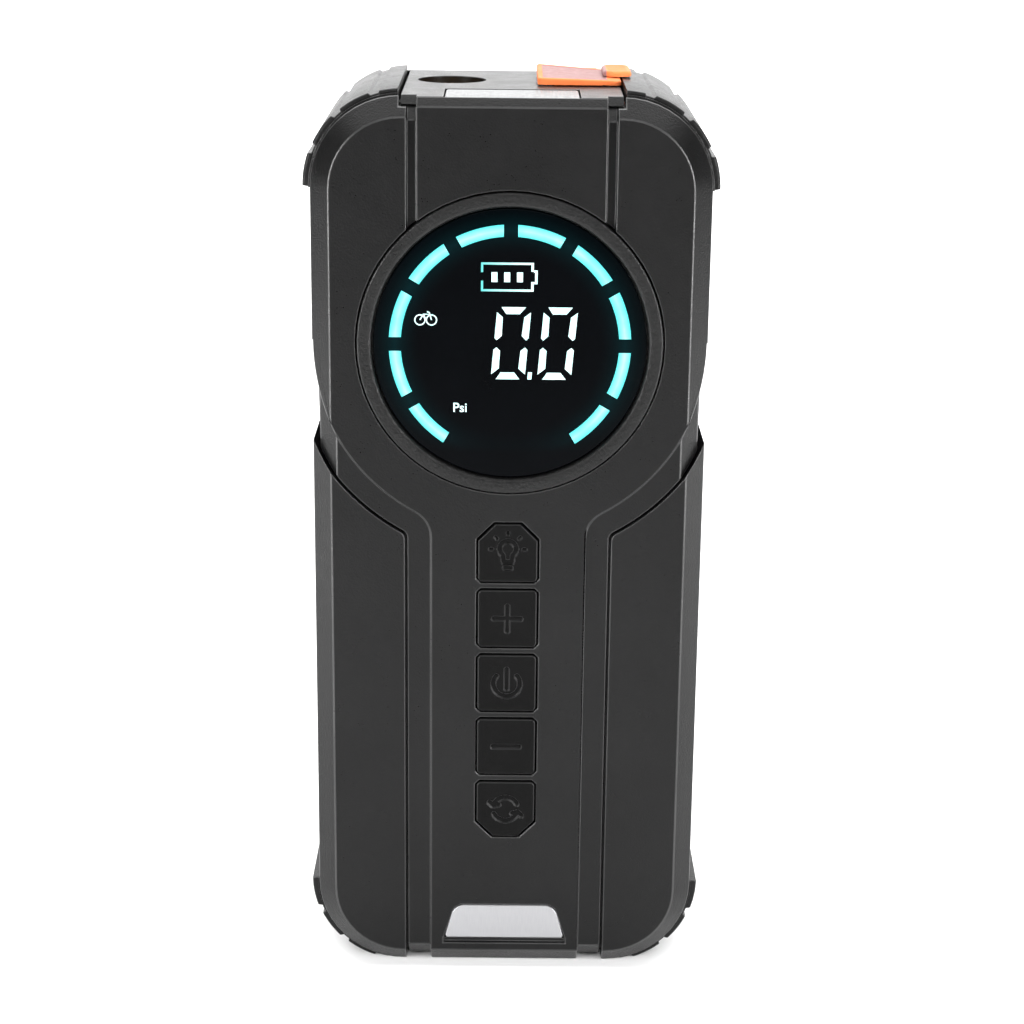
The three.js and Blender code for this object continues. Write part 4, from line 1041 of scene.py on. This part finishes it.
def build_cap_tab(high, plate_right, plate_far, plate_low):
    """A round pull tab over the rubber corner, its top ribbed across, and the neck under it."""
    low_z = high.z - TAB_THICKNESS
    left, near, far = high.x - 6.6 * MM, plate_far - 18 * MM, plate_far - 1 * MM
    tab, inside = flat_plate(Vector((left, near, low_z)), Vector((high.x, far, high.z)),
                             3.2 * MM, 0.8 * MM, 60, 90)
    ribs = 0.1 * MM * np.cos((tab[..., 1] - near) / (1.9 * MM) * 2 * np.pi)
    tab[..., 2] -= (0.12 * MM - ribs) * smooth_step((inside - 0.8 * MM) / (0.6 * MM))
    capped_piece("cap_pull_tab", tab, [rim_at(tab, 2, low_z)], ORANGE, "cap", ())

    sunk = 0.4 * MM
    inset = 2.4 * MM
    neck, _ = flat_plate(Vector((left + sunk, near + inset, plate_low + sunk)),
                         Vector((plate_right - 0.5 * MM, far - inset, low_z + sunk)),
                         0.8 * MM, 0.2 * MM, 24, 24)
    capped_piece("cap_tab_neck", neck, [rim_at(neck, 2, plate_low + sunk)], ORANGE, "cap", ())


def build_cap_skirt(low, plate_low):
    """A rectangular ring carried round the socket's mouth, which plugs into it."""
    socket_low, socket_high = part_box("jump_socket")
    clearance = 1.6 * MM
    wall = 1.0 * MM
    edge, inner_edge = 0.3 * MM, 0.2 * MM
    middle = (socket_low + socket_high) / 2
    turn = np.linspace(0, 2 * np.pi, 96, endpoint=False)

    def loop(half_x, half_y, z):
        """A level super-ellipse, close to a rectangle with round corners."""
        c, s = np.cos(turn), np.sin(turn)
        x = half_x * np.sign(c) * np.abs(c) ** 0.3
        y = half_y * np.sign(s) * np.abs(s) ** 0.3
        return np.stack([middle.x + x, middle.y + y, np.full_like(x, z)], -1)

    half_x = (socket_high.x - socket_low.x) / 2 - clearance
    half_y = (socket_high.y - socket_low.y) / 2 - clearance
    foot = low.z
    top = plate_low + 0.3 * MM
    profile = [(0, top), (0, foot + edge), (edge, foot), (wall - inner_edge, foot),
               (wall, foot + inner_edge), (wall, top)]
    grid = np.stack([loop(half_x - inset, half_y - inset, z) for inset, z in profile], 1)
    faces = grid_faces(*grid.shape[:2], wrap_rows=True, wrap_columns=True)
    mesh = build("cap_skirt", grid, faces, 50)
    finish_piece("cap_skirt", mesh, ORANGE, "cap", ())


def build_outlet():
    """The hose fitting, turned from its profile: chamfered rim, sunk step, grooved bore and a
    blind floor. The grooves are a wave along the bore."""
    low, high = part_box("air_outlet")
    centre = ((low.x + high.x) / 2, (low.y + high.y) / 2, 0)
    outer = (high.x - low.x) / 2
    bore = 4.3 * MM
    floor = low.z + 3 * MM
    rim = 0.4 * MM
    step = high.z - 0.8 * MM
    depth = np.linspace(high.z - 2.6 * MM, floor + 1.0 * MM, 60)
    wave = 0.22 * MM * np.cos((depth - floor) / (0.9 * MM) * 2 * np.pi)
    profile = [(0, low.z), (outer - rim, low.z), (outer, low.z + rim), (outer, high.z - rim)]
    profile += [(outer - rim, high.z), (outer - 1.1 * MM, high.z), (outer - 1.5 * MM, step)]
    profile += [(bore + 0.9 * MM, step), (bore + 0.2 * MM, high.z - 1.6 * MM)]
    profile += [(bore + w, d) for w, d in zip(wave, depth)]
    profile += [(bore, floor), (0, floor)]
    grid, faces = turned(profile, centre, "z", 96)
    mesh = build("hose_fitting", grid, faces, 35)
    finish_piece("hose_fitting", mesh, BRASS, "pack", ["air_outlet"])


set_camera()
build_studio()
dress_cad_pieces()
for corner_name, side_sign, is_upper in (("top_left", -1, True), ("top_right", 1, True),
                                         ("bottom_left", -1, False), ("bottom_right", 1, False)):
    build_bumper(corner_name, side_sign, is_upper)
build_bezel()
build_lens()
build_readout()
for key_name, (key_symbol, key_foot, key_top) in KEYS.items():
    build_key(key_name, key_symbol, key_foot, key_top)
build_trim()
build_lamp_lens()
build_cap()
build_outlet()
